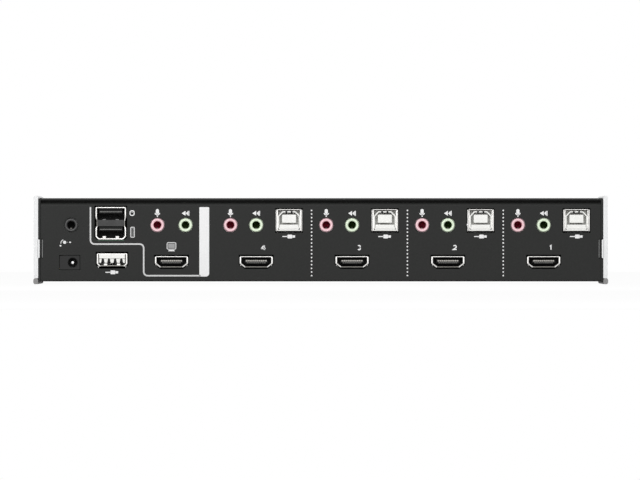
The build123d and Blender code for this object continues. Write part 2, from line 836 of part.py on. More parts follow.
def flat_socket(name, mouth, board_top):
    with BuildPart() as shell:
        flared_tube(mouth, flat_outline, flat_flare, flat_depth)
        solder_legs(mouth, flat_width, board_top)
        floor_springs(mouth, shell_wall - flat_height / 2)
    save(shell, f"{name}_data_shell")
    with BuildPart() as insert:
        with BuildSketch(mouth.offset(-flat_depth)):
            add(flat_outline(-shell_wall - insert_gap))
        extrude(amount=insert_back)
        with BuildSketch(mouth.offset(-flat_depth)):
            with Locations((0, flat_tongue_rise)):
                Rectangle(flat_tongue_width, flat_tongue_thick)
        extrude(amount=flat_depth - flat_tongue_setback)
    save(insert, f"{name}_data_insert")


def stacked_socket(name, mouth, board_top):
    opening = (stack_height - stack_bridge) / 2 - shell_wall
    opening_shift = (stack_bridge + opening) / 2
    with BuildPart() as shell:
        flared_tube(mouth, stack_outline, flat_flare, flat_depth)
        # floor of the upper opening and roof of the lower one
        with BuildSketch(mouth):
            with Locations([(0, side * (stack_bridge - shell_wall) / 2) for side in (-1, 1)]):
                Rectangle(flat_width - shell_wall, shell_wall)
        extrude(amount=-(flat_depth - insert_back))
        solder_legs(mouth, flat_width, board_top)
        for floor in (shell_wall - stack_height / 2, stack_bridge / 2):
            floor_springs(mouth, floor)
    save(shell, f"{name}_data_shell")
    with BuildPart() as insert:
        with BuildSketch(mouth.offset(-flat_depth)):
            add(stack_outline(-shell_wall - insert_gap))
        extrude(amount=insert_back - insert_gap)
        with BuildSketch(mouth.offset(-flat_depth)):
            Rectangle(
                flat_width - 2 * (shell_wall + insert_gap),
                stack_bridge - 2 * (shell_wall + insert_gap),
            )
        extrude(amount=flat_depth - lip_depth)
        with BuildSketch(mouth.offset(-flat_depth)):
            rise = (opening - flat_tongue_thick) / 2 - shell_wall
            with Locations([(0, side * opening_shift + rise) for side in (-1, 1)]):
                Rectangle(flat_tongue_width, flat_tongue_thick)
        extrude(amount=flat_depth - flat_tongue_setback)
    save(insert, f"{name}_data_insert")


def square_socket(name, mouth, board_top):
    centre = mouth.origin
    with BuildPart() as shell:
        flared_tube(mouth, square_outline, square_flare, square_depth)
        # the side walls are folded back on themselves, and the walls between them are set back
        hem_x = (square_width - square_hem) / 2 - shell_wall
        with BuildSketch(mouth):
            with Locations((-hem_x, 0), (hem_x, 0)):
                Rectangle(square_hem, square_height - 2 * shell_wall)
        extrude(amount=-square_hem_depth)
        with BuildSketch(mouth.offset(lip_reach)):
            Rectangle(2 * hem_x - square_hem, square_height + 2 * square_flare)
        extrude(amount=-(lip_reach + square_setback), mode=Mode.SUBTRACT)
    save(shell, f"{name}_data_shell")
    with BuildPart() as insert:
        with BuildSketch(mouth.offset(-square_depth)):
            add(square_outline(-shell_wall - insert_gap))
        extrude(amount=square_floor)
        # keyed collar, and the tongue inside it
        with BuildSketch(mouth.offset(square_floor - square_depth)):
            add(keyed_outline(square_collar))
        extrude(amount=square_depth - square_floor - lip_depth)
        with BuildSketch(mouth.offset(-lip_depth)):
            add(keyed_cavity())
        extrude(amount=lip_depth + insert_back - square_depth, mode=Mode.SUBTRACT)
        # riser block under the sleeve and behind it, standing on the board
        shell_low = centre.Z - square_height / 2
        block_end = centre.Y + square_depth + insert_back
        with BuildSketch(Plane.XY.offset(board_top)):
            with Locations((centre.X, (centre.Y + sheet + board_inset + block_end) / 2)):
                Rectangle(square_width, block_end - centre.Y - sheet - board_inset)
        extrude(amount=shell_low - board_top)
        with BuildSketch(Plane.XY.offset(board_top)):
            with Locations((centre.X, block_end - insert_back / 2)):
                Rectangle(square_width, insert_back)
        extrude(amount=centre.Z + square_height / 2 - board_top)
    save(insert, f"{name}_data_insert")


def audio_jack(node, mouth, reach, board_top):
    body_low = board_top - mouth.origin.Z
    front_gap = sheet + board_inset if reach > 0 else bezel_thick + board_inset
    with BuildPart() as jack:
        with BuildSketch(mouth.offset(-front_gap)):
            with Locations((0, (body_low + jack_body_rise) / 2)):
                Rectangle(jack_body_width, jack_body_rise - body_low)
        extrude(amount=-jack_body_depth)
        with BuildSketch(mouth.offset(reach)):
            Circle(jack_barrel / 2)
        extrude(amount=-(reach + front_gap))
        with BuildSketch(mouth.offset(reach)):
            Circle(jack_bore / 2)
        extrude(amount=-jack_bore_length, mode=Mode.SUBTRACT)
    save(jack, node)


for name, x in video_places.items():
    video_socket(name, rear_mouth(x, video_z), main_board_top)
for n, x in port_x.items():
    square_socket(f"port_{n}", rear_mouth(x + square_shift, square_z), upper_board_top)
stacked_socket("console", rear_mouth(stack_x, stack_z), upper_board_top)
flat_socket("hub", rear_mouth(hub_x, hub_z), main_board_top)
flat_socket("front", front_mouth(front_data_x, front_socket_z), upper_board_top)
for node, x in jack_places.items():
    audio_jack(node, rear_mouth(x, jack_z), nose_reach, upper_board_top)
audio_jack("upgrade_jack", rear_mouth(upgrade_x, jack_z), nose_reach, upper_board_top)
front_reach = -front_jack_setback
for node, x in (("front_mic_jack", front_mic_x), ("front_speaker_jack", front_speaker_x)):
    audio_jack(node, front_mouth(x, front_socket_z), front_reach, upper_board_top)

# ---- supply jack ----
supply_mouth = rear_mouth(supply_x, main_board_top + supply_height / 2)
with BuildPart() as supply_body:
    with BuildSketch(supply_mouth):
        Rectangle(supply_width, supply_height)
    extrude(amount=-supply_depth)
    with BuildSketch(supply_mouth):
        with Locations((supply_bore_shift, 0)):
            Circle(supply_bore / 2)
    extrude(amount=-supply_bore_length, mode=Mode.SUBTRACT)
save(supply_body, "dc_jack_body")

with BuildPart() as supply_pin_part:
    with BuildSketch(supply_mouth.offset(-supply_bore_length)):
        with Locations((supply_bore_shift, 0)):
            Circle(supply_pin / 2)
    extrude(amount=supply_bore_length - supply_pin_setback)
save(supply_pin_part, "dc_jack_pin")
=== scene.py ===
import math

import bmesh
import bpy
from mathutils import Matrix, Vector


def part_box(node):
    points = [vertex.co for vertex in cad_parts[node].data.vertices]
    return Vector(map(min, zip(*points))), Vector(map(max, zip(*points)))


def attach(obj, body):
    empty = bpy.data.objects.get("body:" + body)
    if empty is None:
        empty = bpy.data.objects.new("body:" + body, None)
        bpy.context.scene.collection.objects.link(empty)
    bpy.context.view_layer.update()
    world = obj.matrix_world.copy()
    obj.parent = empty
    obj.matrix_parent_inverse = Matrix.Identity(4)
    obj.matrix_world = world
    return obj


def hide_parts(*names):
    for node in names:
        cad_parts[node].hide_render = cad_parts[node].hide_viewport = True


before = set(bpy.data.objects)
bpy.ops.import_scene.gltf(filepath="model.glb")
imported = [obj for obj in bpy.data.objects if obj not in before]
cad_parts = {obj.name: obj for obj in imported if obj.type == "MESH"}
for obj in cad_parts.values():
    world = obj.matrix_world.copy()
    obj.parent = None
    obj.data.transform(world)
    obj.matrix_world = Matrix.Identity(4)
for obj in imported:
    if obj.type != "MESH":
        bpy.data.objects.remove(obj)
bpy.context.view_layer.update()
scene = bpy.context.scene
mm = 0.001


# shader tools
paint = {}  # each finish under its own name


def feed(tree, place, value):
    if isinstance(value, Wire):
        tree.links.new(value.socket, place)
    else:
        place.default_value = value


class Wire:  # a node's output that plain arithmetic works on
    def __init__(self, tree, socket):
        self.tree, self.socket = tree, socket

    def maths(self, operation, *others, clamp=False):
        node = self.tree.nodes.new("ShaderNodeMath")
        node.operation, node.use_clamp = operation, clamp
        for place, value in zip(node.inputs, (self, *others)):
            feed(self.tree, place, value)
        return Wire(self.tree, node.outputs[0])

    def __add__(self, other):
        return self.maths("ADD", other)

    def __sub__(self, other):
        return self.maths("SUBTRACT", other)

    def __rsub__(self, other):
        return self * -1.0 + other

    def __mul__(self, other):
        return self.maths("MULTIPLY", other)

    __radd__ = __add__
    __rmul__ = __mul__

    def between(self, low, high):  # 0 below low, 1 above high
        return ((self - low) * (1 / (high - low))).maths("ADD", 0.0, clamp=True)


class Finish:  # a procedural material in the making
    def __init__(self, name, shader):
        self.material = bpy.data.materials.new(name)
        self.material.use_nodes = True
        self.tree = self.material.node_tree
        self.shader = self.tree.nodes["Principled BSDF"]
        for socket, value in shader.items():
            self.shader.inputs[socket].default_value = value
        self.place = self.node("ShaderNodeTexCoord", {}, {}, "Object")

    def node(self, kind, settings, inputs, output=0):
        made = self.tree.nodes.new(kind)
        for name, value in settings.items():
            setattr(made, name, value)
        for socket, value in inputs.items():
            feed(self.tree, made.inputs[socket], value)
        return Wire(self.tree, made.outputs[output])

    def noise(self, size, detail=2.0, stretch=None):  # size of one cell in metres
        place = self.place
        if stretch:
            place = self.node("ShaderNodeMapping", {}, {"Vector": place, "Scale": stretch})
        values = {"Vector": place, "Scale": 1 / size, "Detail": detail}
        return self.node("ShaderNodeTexNoise", {}, values)

    def cells(self, size):
        return self.node("ShaderNodeTexVoronoi", {}, {"Vector": self.place, "Scale": 1 / size})

    def colour(self, factor, dark, light):
        both = {0: factor, 6: (*dark, 1.0), 7: (*light, 1.0)}
        return self.node("ShaderNodeMix", {"data_type": "RGBA"}, both, 2)

    def relief(self, height, depth, strength=1.0):
        values = {"Height": height, "Distance": depth, "Strength": strength}
        return self.node("ShaderNodeBump", {}, values)

    def done(self, links):
        for socket, wire in links.items():
            feed(self.tree, self.shader.inputs[socket], wire)
        paint[self.material.name] = self.material


def shade(level, warm=0.0, scale=1.0):  # a near-neutral colour
    return (level * scale * (1 + warm), level * scale, level * scale * (1 - warm))


def hue(level, scale):  # charcoal with a breath of green
    return (level * scale * 0.98, level * scale * 1.02, level * scale * 0.97)


def powderCoat(name, level, gloss):
    look = {"grain": 0.00042, "patch": 0.035, "depth": 0.00003}
    coat = Finish(name, {"Specular IOR Level": gloss})
    grain = coat.cells(look["grain"])
    patch = coat.noise(look["patch"], 3.0)
    fleck = coat.noise(look["grain"] * 2.2, 2.0).between(0.35, 0.7)
    tone = patch * 0.35 + fleck * 0.65
    coat.done({
        "Base Color": coat.colour(tone, hue(level, 0.82), hue(level, 1.2)),
        "Roughness": patch * 0.05 + fleck * 0.12 + 0.385,
        "Normal": coat.relief(grain + fleck * 0.5, look["depth"], 0.6),
    })


def moulding(name, dark, light, rough, gloss=0.5, coat=0.0, grain=0.0003, depth=0.000006):
    plastic = Finish(name, {"Specular IOR Level": gloss, "Coat Roughness": 0.12})
    spark = plastic.noise(grain, 2.0)
    cloud = plastic.noise(0.006, 3.0)
    plastic.shader.inputs["Coat Weight"].default_value = coat
    plastic.done({
        "Base Color": plastic.colour(spark * 0.3 + cloud * 0.7, dark, light),
        "Roughness": cloud * 0.08 + spark * 0.06 + (rough - 0.07),
        "Normal": plastic.relief(spark, depth, 0.5),
    })


def pressedMetal(name, dark, light, rough, lengthwise=(6.0, 1.0, 6.0)):
    metal = Finish(name, {"Metallic": 1.0})
    brushed = metal.noise(0.0012, 3.0, lengthwise)
    stain = metal.noise(0.003, 2.0)
    metal.done({
        "Base Color": metal.colour(brushed * 0.55 + stain * 0.45, dark, light),
        "Roughness": brushed * 0.14 + stain * 0.1 + (rough - 0.1),
        "Normal": metal.relief(brushed, 0.000008, 0.45),
    })


def laminate(name):
    board = Finish(name, {"Coat Roughness": 0.2})
    tracks = board.cells(0.0021).between(0.3, 0.36)
    weave = board.noise(0.0004, 1.0, (1.0, 5.0, 1.0))
    board.shader.inputs["Coat Weight"].default_value = 0.3
    dark, light = (0.006, 0.05, 0.022), (0.015, 0.12, 0.05)
    board.done({
        "Base Color": board.colour(tracks * 0.8 + weave * 0.2, dark, light),
        "Roughness": weave * 0.1 + 0.34,
        "Normal": board.relief(tracks, 0.00003, 0.5),
    })


def softRubber(name, level):
    rubber = Finish(name, {"Specular IOR Level": 0.15})
    pores = rubber.noise(0.00035, 3.0)
    bloom = rubber.noise(0.012, 2.0)
    rubber.done({
        "Base Color": rubber.colour(
            bloom * 0.6 + pores * 0.4, shade(level, 0.01, 0.85), shade(level, 0.01, 1.12)
        ),
        "Roughness": pores * 0.12 + 0.62,
        "Normal": rubber.relief(pores, 0.00001, 0.5),
    })


def screenInk(name, level):
    ink = Finish(name, {"Specular IOR Level": 0.3})
    thin = ink.noise(0.0002, 3.0)
    ink.done({
        "Base Color": ink.colour(thin.between(0.3, 0.6), shade(level, 0.0, 0.9), shade(level)),
        "Roughness": thin * 0.15 + 0.5,
        "Normal": ink.relief(thin, 0.000006, 0.4),
    })


def frostedGuide(name):
    guide = Finish(name, {"Transmission Weight": 0.35, "IOR": 1.49})
    frost = guide.noise(0.0003, 2.0)
    guide.done({
        "Base Color": guide.colour(frost, (0.62, 0.66, 0.64), (0.8, 0.84, 0.82)),
        "Roughness": frost * 0.15 + 0.4,
    })


powderCoat("panelCoat", 0.015, 0.16)
powderCoat("coverCoat", 0.017, 0.16)
moulding("cheekPlastic", (0.78, 0.785, 0.79), (0.86, 0.865, 0.87), 0.42)
softRubber("footRubber", 0.3)
# near-black rubber for the strip that darkens the gap under the cover, painted shade
softRubber("shadeStrip", 0.005)
moulding("bezelPlastic", shade(0.012), shade(0.018), 0.3, coat=0.2)
moulding("capPlastic", shade(0.17), shade(0.21), 0.4)
moulding("carrierBlack", shade(0.006), shade(0.011), 0.5, gloss=0.1)
moulding("bridgeGrey", shade(0.02), shade(0.09), 0.5, gloss=0.2, grain=0.0008)
moulding("carrierWhite", (0.87, 0.87, 0.84), (0.93, 0.93, 0.9), 0.4)
moulding("jackPink", (0.88, 0.56, 0.61), (0.93, 0.64, 0.68), 0.3, coat=0.3)
# a deeper red than the jack's pink, painted shade inside the bore
moulding("borePink", (0.68, 0.04, 0.12), (0.76, 0.06, 0.17), 0.5, gloss=0.2)
moulding("jackGreen", (0.75, 0.88, 0.66), (0.82, 0.93, 0.74), 0.3, coat=0.3)
# a darker green than the jack's, painted shade inside the bore
moulding("boreGreen", (0.08, 0.2, 0.02), (0.12, 0.26, 0.03), 0.5, gloss=0.2)
moulding("jackBlack", shade(0.014), shade(0.03), 0.38, gloss=0.5, grain=0.0005)
moulding("shellBlack", shade(0.004), shade(0.012), 0.5, gloss=0.25, grain=0.0006)
# near-black, painted shade: in the black jack's bore, behind slots and teeth, and on square sleeves'
# lips
moulding("boreBlack", shade(0.004), shade(0.006), 0.5, gloss=0.2)
pressedMetal("nickel", (0.68, 0.67, 0.65), (0.84, 0.83, 0.81), 0.3)
# a darker copy of the nickel, painted shade on metal the light misses
pressedMetal("shadedMetal", (0.1, 0.1, 0.1), (0.2, 0.2, 0.2), 0.45)
pressedMetal("contact", (0.2, 0.195, 0.18), (0.32, 0.31, 0.29), 0.34, (1.0, 1.0, 1.0))
# a darker copy of the contact metal, painted shade for contacts under the tongues
pressedMetal("shadedContact", (0.07, 0.07, 0.068), (0.14, 0.14, 0.135), 0.4, (1.0, 1.0, 1.0))
pressedMetal("pin", (0.78, 0.78, 0.78), (0.9, 0.9, 0.9), 0.16, (1.0, 4.0, 1.0))
pressedMetal("zinc", (0.5, 0.5, 0.52), (0.66, 0.66, 0.68), 0.34, (1.0, 1.0, 1.0))
pressedMetal("brass", (0.6, 0.42, 0.14), (0.76, 0.58, 0.26), 0.3, (1.0, 1.0, 4.0))
laminate("laminate")
moulding("chipBlack", shade(0.012), shade(0.02), 0.5)
frostedGuide("guide")
screenInk("ink", 0.9)
screenInk("greyInk", 0.34)
screenInk("lineInk", 0.68)
print("finishes:", len(paint))


# mesh tools
def settle(piece):
    # the evaluated result becomes the piece's plain mesh
    bpy.context.view_layer.update()
    evaluated = piece.evaluated_get(bpy.context.evaluated_depsgraph_get())
    data = bpy.data.meshes.new_from_object(evaluated)
    piece.modifiers.clear()
    piece.data = data
    data.name = piece.name
    return piece


def smoothRounds(piece):
    # wide faces keep their own normals, and the small rounds between them blend
    data = piece.data
    if data.has_custom_normals:
        data.attributes.remove(data.attributes["custom_normal"])
    data.set_sharp_from_angle(angle=math.radians(38))
    even = piece.modifiers.new("even", "WEIGHTED_NORMAL")
    even.keep_sharp = True
    return settle(piece)


def turnOutward(mesh):
    # each closed shell of the mesh encloses a positive volume
    bmesh.ops.recalc_face_normals(mesh, faces=mesh.faces)
    rest = set(mesh.faces)
    while rest:
        shell, reached = [], [rest.pop()]
        while reached:
            face = reached.pop()
            shell.append(face)
            for other in (f for side in face.edges for f in side.link_faces):
                if other in rest:
                    rest.remove(other)
                    reached.append(other)
        start = shell[0].verts[0].co
        if sum(face.calc_area() * face.normal.dot(face.verts[0].co - start) for face in shell) < 0:
            bmesh.ops.reverse_faces(mesh, faces=shell)


def rounded(edge, steps):
    # how far each station of a rounded edge lies in from the side and behind the face
    turns = [math.pi / 2 * step / steps for step in range(steps + 1)]
    return [(edge * (math.sin(turn) - 1), edge * (1 - math.cos(turn))) for turn in turns]


class Form:
    # In its mouth's own axes x runs right, z up and d into the case; way is 1 at the connector
    # panel and -1 at the bezel. All its sizes are in millimetres.
    def __init__(self, mouth=(0.0, 0.0, 0.0, 1)):
        self.mesh, self.mouth, self.paints = bmesh.new(), mouth, []

    def at(self, x, z, d):
        ox, oy, oz, way = self.mouth
        return self.mesh.verts.new((ox + way * x * mm, oy + way * d * mm, oz + z * mm))

    def face(self, corners, material):
        if material not in self.paints:
            self.paints.append(material)
        made = self.mesh.faces.new(corners)
        made.material_index = self.paints.index(material)

    def ring(self, outline, d):
        return [self.at(x, z, d) for x, z in outline]

    def skin(self, rings, material, closed=False, gaps=()):
        # quads from each ring to the next; gaps are the places along the rings left open, and
        # material may be a list with a name for each place
        pairs = list(zip(rings, rings[1:] + rings[:1])) if closed else list(zip(rings, rings[1:]))
        for near, far in pairs:
            for i in range(len(near)):
                if i not in gaps:
                    j = (i + 1) % len(near)
                    name = material if isinstance(material, str) else material[i]
                    self.face((near[i], near[j], far[j], far[i]), name)
        for i in gaps:  # close the two ends beside a gap
            self.face([ring[i] for ring in rings], material)
            self.face([ring[(i + 1) % len(ring)] for ring in rings], material)

    def plug(self, outline, front, back, edge, material, both=False, steps=2):
        # a solid block behind an outline, its front edge rounded, and its back edge too if asked
        ease = rounded(edge, steps)
        stations = [(inset, front + shift) for inset, shift in ease]
        stations += [(inset, back - shift) for inset, shift in reversed(ease)] if both else [(0.0, back)]
        self.stack([self.ring(grown(outline, inset), d) for inset, d in stations], material)

    def stack(self, rings, material, ends=(True, True)):
        self.skin(rings, material)
        for ring, shut in zip((rings[0], rings[-1]), ends):
            if shut:
                self.face(ring, material)

    def turned(self, centre, profile, material, axis=2, steps=40):
        # profile is radius and distance along the axis: 0 is right, 1 up, 2 into the case
        rings = []
        for radius, along in profile:
            ring = []
            for step in range(steps):
                angle, place = 2 * math.pi * step / steps, list(centre)
                place[axis] += along
                place[(axis + 1) % 3] += radius * math.cos(angle)
                place[(axis + 2) % 3] += radius * math.sin(angle)
                ring.append(self.at(*place))
            rings.append(ring)
        self.stack(rings, material)

    def stroke(self, path, width, front, back, material, closed=False):
        # a flat line of even width along a path
        ends, rings = len(path), []
        for i, here in enumerate(path):
            before = path[i - 1] if i or closed else None
            after = path[(i + 1) % ends] if i < ends - 1 or closed else None
            first = (Vector(here) - Vector(before)).normalized() if before else None
            second = (Vector(after) - Vector(here)).normalized() if after else None
            first, second = first or second, second or first
            away = Vector((-first.y - second.y, first.x + second.x)) / (1 + first.dot(second))
            left, right = Vector(here) + away * width / 2, Vector(here) - away * width / 2
            rings.append([
                self.at(left.x, left.y, front), self.at(right.x, right.y, front),
                self.at(right.x, right.y, back), self.at(left.x, left.y, back),
            ])
        self.skin(rings, material, closed)
        if not closed:
            self.face(rings[0], material)
            self.face(rings[-1], material)

    def slab(self, x0, x1, section, material):
        # section is depth and height, drawn out sideways
        sides = [[self.at(x, z, d) for d, z in section] for x in (x0, x1)]
        self.skin(sides, material)
        for side in sides:
            self.face(side, material)

    def made(self, name):
        bmesh.ops.remove_doubles(self.mesh, verts=self.mesh.verts, dist=1e-8)
        turnOutward(self.mesh)
        data = bpy.data.meshes.new(name)
        self.mesh.to_mesh(data)
        self.mesh.free()
        for material in self.paints:
            data.materials.append(paint[material])
        piece = bpy.data.objects.new(name, data)
        scene.collection.objects.link(piece)
        return smoothRounds(piece)


def seat(piece, slot, *nodes, body="case"):
    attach(piece, body)
    if nodes:
        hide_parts(*nodes)
    return piece


def softOutline(corners, radius, steps=4, cuts=0):
    # convex corners, anticlockwise; each point carries its outward direction
    points = []
    for i, corner in enumerate(corners):
        here = Vector(corner)
        before, after = Vector(corners[i - 1]), Vector(corners[(i + 1) % len(corners)])
        arrive, leave = (here - before).normalized(), (after - here).normalized()
        start = math.atan2(-arrive.x, arrive.y)
        turn = arrive.angle(leave)
        reach = radius * math.tan(turn / 2)
        centre = here - arrive * reach + Vector((-arrive.y, arrive.x)) * radius
        for step in range(steps + 1):
            angle = start + turn * step / steps
            away = Vector((math.cos(angle), math.sin(angle)))
            points.append((centre + away * radius, away))
        end = points[-1]
        for cut in range(cuts):
            side = after - leave * reach - end[0]
            points.append((end[0] + side * (cut + 1) / (cuts + 1), end[1]))
    return points


def sharpOutline(points):
    # any anticlockwise outline; each point carries its mitred outward direction
    outline = []
    for i, corner in enumerate(points):
        here, before = Vector(corner), Vector(points[i - 1])
        after = Vector(points[(i + 1) % len(points)])
        first, second = (here - before).normalized(), (after - here).normalized()
        away = Vector((first.y + second.y, -first.x - second.x)) / (1 + first.dot(second))
        outline.append((here, away))
    return outline


def arc(x, z, radius, start, end, steps):  # degrees, anticlockwise when end is the larger
    angles = [math.radians(start + (end - start) * step / steps) for step in range(steps + 1)]
    return [(x + radius * math.cos(a), z + radius * math.sin(a)) for a in angles]


def grown(outline, amount):
    return [tuple(point + away * amount) for point, away in outline]


def box(width, height, x=0.0, z=0.0):
    w, h = width / 2, height / 2
    return [(x - w, z - h), (x + w, z - h), (x + w, z + h), (x - w, z + h)]


def softBox(width, height, radius=0.15, x=0.0, z=0.0, steps=2):
    return softOutline(box(width, height, x, z), radius, steps)


def sleeveSection(size, share):
    # from the sleeve's outside at the back, round its lip, to its inside at the back
    wall, curl, flare = size["wall"], size["curl"], size["flare"] * share
    tip = size["setback"] * (1 - share) - size["reach"]
    thick = wall + (size["lip"] - wall) * share
    outside, nose, inside = [(size["depth"], 0.0)], [], [(size["depth"], -wall)]
    for step in range(6):
        bend = (step / 5) ** 2
        d = curl + (tip + thick / 2 - curl) * step / 5
        outside.append((d, flare * bend))
        inside.append((d, (flare + wall - thick) * bend - wall))
    for angle in range(30, 151, 30):
        turn = math.radians(angle)
        nose.append((tip + thick / 2 * (1 - math.sin(turn)), flare - thick / 2 * (1 - math.cos(turn))))
    return outside + nose + inside[::-1]


def pressedSleeve(form, outline, size, splay, material="nickel"):
    # a thin wall behind its outline, curled outwards at the mouth by each point's own share; the
    # stretches that hardly curl are painted in a darker paint, as shade on the metal
    shares = [splay(point, away) for point, away in outline]
    rings, paints = [], []
    for places in zip(*(sleeveSection(size, share) for share in shares)):
        ring = []
        for (point, away), (d, offset) in zip(outline, places):
            spot = point + away * offset
            ring.append(form.at(spot.x, spot.y, d))
        rings.append(ring)
    # stretches that curl less than the set share take the darker paint, painted shade
    for share, after in zip(shares, shares[1:] + shares[:1]):
        paints.append(material if (share + after) / 2 >= size["litShare"] else size["shadedMetal"])
    form.skin(rings, paints, closed=True)


def backBlock(form, outline, size, material):
    # fills the back of the sleeve, and gives the depth where it begins
    inner = [(point - away * (size["wall"] + 0.05), away) for point, away in outline]
    back = size["depth"] - size["back"]
    form.plug(inner, back, size["depth"], 0.1, material)
    return back


def sideways(top, low):
    # full splay on the sides, part of it above and below
    def splay(point, away):
        side = abs(away.x)
        return side + (1 - side) * (top if away.y > 0 else low)
    return splay


def solderLegs(form, size, reachDown):
    for side in (-1, 1):
        for setback in (3.2, 9.2):
            x = side * (size["width"] - size["wall"]) / 2
            leg = softBox(size["wall"], 2.0 * reachDown, 0.1, x, -reachDown)
            form.plug(leg, setback - 1.0, setback + 1.0, 0.1, "nickel")


def rowTree():
    # repeats a mesh along a straight line
    tree = bpy.data.node_groups.new("rowAlongALine", "GeometryNodeTree")
    kinds = {"Geometry": "Geometry", "Count": "Int", "Step": "Vector", "Material": "Material"}
    for name, kind in kinds.items():
        tree.interface.new_socket(name, in_out="INPUT", socket_type="NodeSocket" + kind)
    tree.interface.new_socket("Geometry", in_out="OUTPUT", socket_type="NodeSocketGeometry")
    source, result = tree.nodes.new("NodeGroupInput"), tree.nodes.new("NodeGroupOutput")
    line = tree.nodes.new("GeometryNodeMeshLine")
    line.mode = "OFFSET"
    copies = tree.nodes.new("GeometryNodeInstanceOnPoints")
    real = tree.nodes.new("GeometryNodeRealizeInstances")
    coat = tree.nodes.new("GeometryNodeSetMaterial")
    for start, end in (
        (source.outputs["Count"], line.inputs["Count"]),
        (source.outputs["Step"], line.inputs["Offset"]),
        (line.outputs["Mesh"], copies.inputs["Points"]),
        (source.outputs["Geometry"], copies.inputs["Instance"]),
        (copies.outputs["Instances"], real.inputs["Geometry"]),
        (real.outputs["Geometry"], coat.inputs["Geometry"]),
        (source.outputs["Material"], coat.inputs["Material"]),
        (coat.outputs["Geometry"], result.inputs[0]),
    ):
        tree.links.new(start, end)
    return tree


rows = rowTree()


def inRow(piece, count, step, material):
    modifier = piece.modifiers.new("row", "NODES")
    modifier.node_group = rows
    sockets = {s.name: s.identifier for s in rows.interface.items_tree if s.in_out == "INPUT"}
    modifier[sockets["Count"]] = count
    modifier[sockets["Step"]] = step
    modifier[sockets["Material"]] = paint[material]
    return settle(piece)


def cut(piece, knife):
    change = piece.modifiers.new("cut", "BOOLEAN")
    change.object, change.operation, change.solver = knife, "DIFFERENCE", "EXACT"
    settle(piece)
    form = bmesh.new()
    form.from_mesh(piece.data)
    turnOutward(form)
    form.to_mesh(piece.data)
    form.free()
    smoothRounds(piece)
    bpy.data.objects.remove(knife)
    return piece


def dressed(node, name, slot, material, edge, body="case", segments=2, roll=0.0):
    # a CAD node's own shape with its sharp edges eased, and its upper outer edge rolled over
    form = bmesh.new()
    form.from_mesh(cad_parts[node].data)
    bmesh.ops.remove_doubles(form, verts=form.verts, dist=1e-6)
    bmesh.ops.dissolve_limit(form, angle_limit=math.radians(1), verts=form.verts, edges=form.edges)
    if roll:
        low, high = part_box(node)
        rim = []
        for side in form.edges:
            if all(v.co.y < low.y + 0.05 * mm and v.co.z > high.z - 0.05 * mm for v in side.verts):
                rim.append(side)
        bmesh.ops.bevel(form, geom=rim, offset=roll * mm, segments=4, profile=0.5, affect="EDGES")
    data = bpy.data.meshes.new(name)
    form.to_mesh(data)
    form.free()
    data.materials.clear()
    data.materials.append(paint[material])
    piece = bpy.data.objects.new(name, data)
    scene.collection.objects.link(piece)
    ease = piece.modifiers.new("ease", "BEVEL")
    ease.width, ease.segments, ease.limit_method = edge * mm, segments, "ANGLE"
    ease.angle_limit = math.radians(35)
    ease.use_clamp_overlap = True
    settle(piece)
    smoothRounds(piece)
    return seat(piece, slot, node, body=body)


# where the sockets' mouths lie
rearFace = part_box("connector_panel")[0].y
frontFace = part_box("front_bezel")[1].y


def mouthOf(node, below=None, way=1):
    # below is how far the mouth's middle lies under the node's highest point, where not halfway
    low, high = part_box(node)
    z = (low.z + high.z) / 2 if below is None else high.z - below * mm
    return ((low.x + high.x) / 2, rearFace if way > 0 else frontFace, z, way)


def onPanel():  # its axes start on the panel's face, at the foot of its middle line
    return Form((0.0, rearFace, 0.0, 1))


# video sockets
video = {
    "width": 14.9, "height": 5.2, "slantRun": 2.3, "slantRise": 1.8, "corner": 0.7, "drop": 3.0,
    "wall": 0.4, "lip": 0.95, "flare": 0.45, "curl": 1.3, "reach": 0.3, "setback": 0.5,
    # last two entries below: the share from which the lip is painted as metal, and the darker paint for
    # the rest, painted shade
    "depth": 11.5, "back": 2.4, "litShare": 0.1, "shadedMetal": "contact",
    "tongueWidth": 11.0, "tongueThick": 1.4, "tongueRise": 0.1, "tongueFront": 0.9,
    "contactPitch": 1.0, "contactWidth": 0.8, "contactThick": 0.12, "contactLength": 8.0,
}


def videoOutline():
    side, top = video["width"] / 2, video["height"] / 2
    corners = [
        (video["slantRun"] - side, -top), (side - video["slantRun"], -top),
        (side, video["slantRise"] - top), (side, top), (-side, top), (-side, video["slantRise"] - top),
    ]
    return softOutline(corners, video["corner"])


def videoContacts(name, mouth, rise, count, overhang, material):
    # a flat strip along the tongue, bent over its front edge
    half = (count - 1) / 2 * video["contactPitch"]
    front, thick = video["tongueFront"], video["contactThick"]
    back = front + video["contactLength"]
    level = 1 if rise > video["tongueRise"] else -1
    form = Form(mouth)
    section = [
        (back, rise), (back, rise + level * thick), (front + 0.1, rise + level * thick),
        (front - thick, rise), (front - thick, rise - level * overhang),
        (front + 0.02, rise - level * overhang),
    ]
    form.slab(-half - video["contactWidth"] / 2, -half + video["contactWidth"] / 2, section, material)
    row = inRow(form.made(name), count, (mouth[3] * video["contactPitch"] * mm, 0, 0), material)
    return seat(row, "pin_metal")


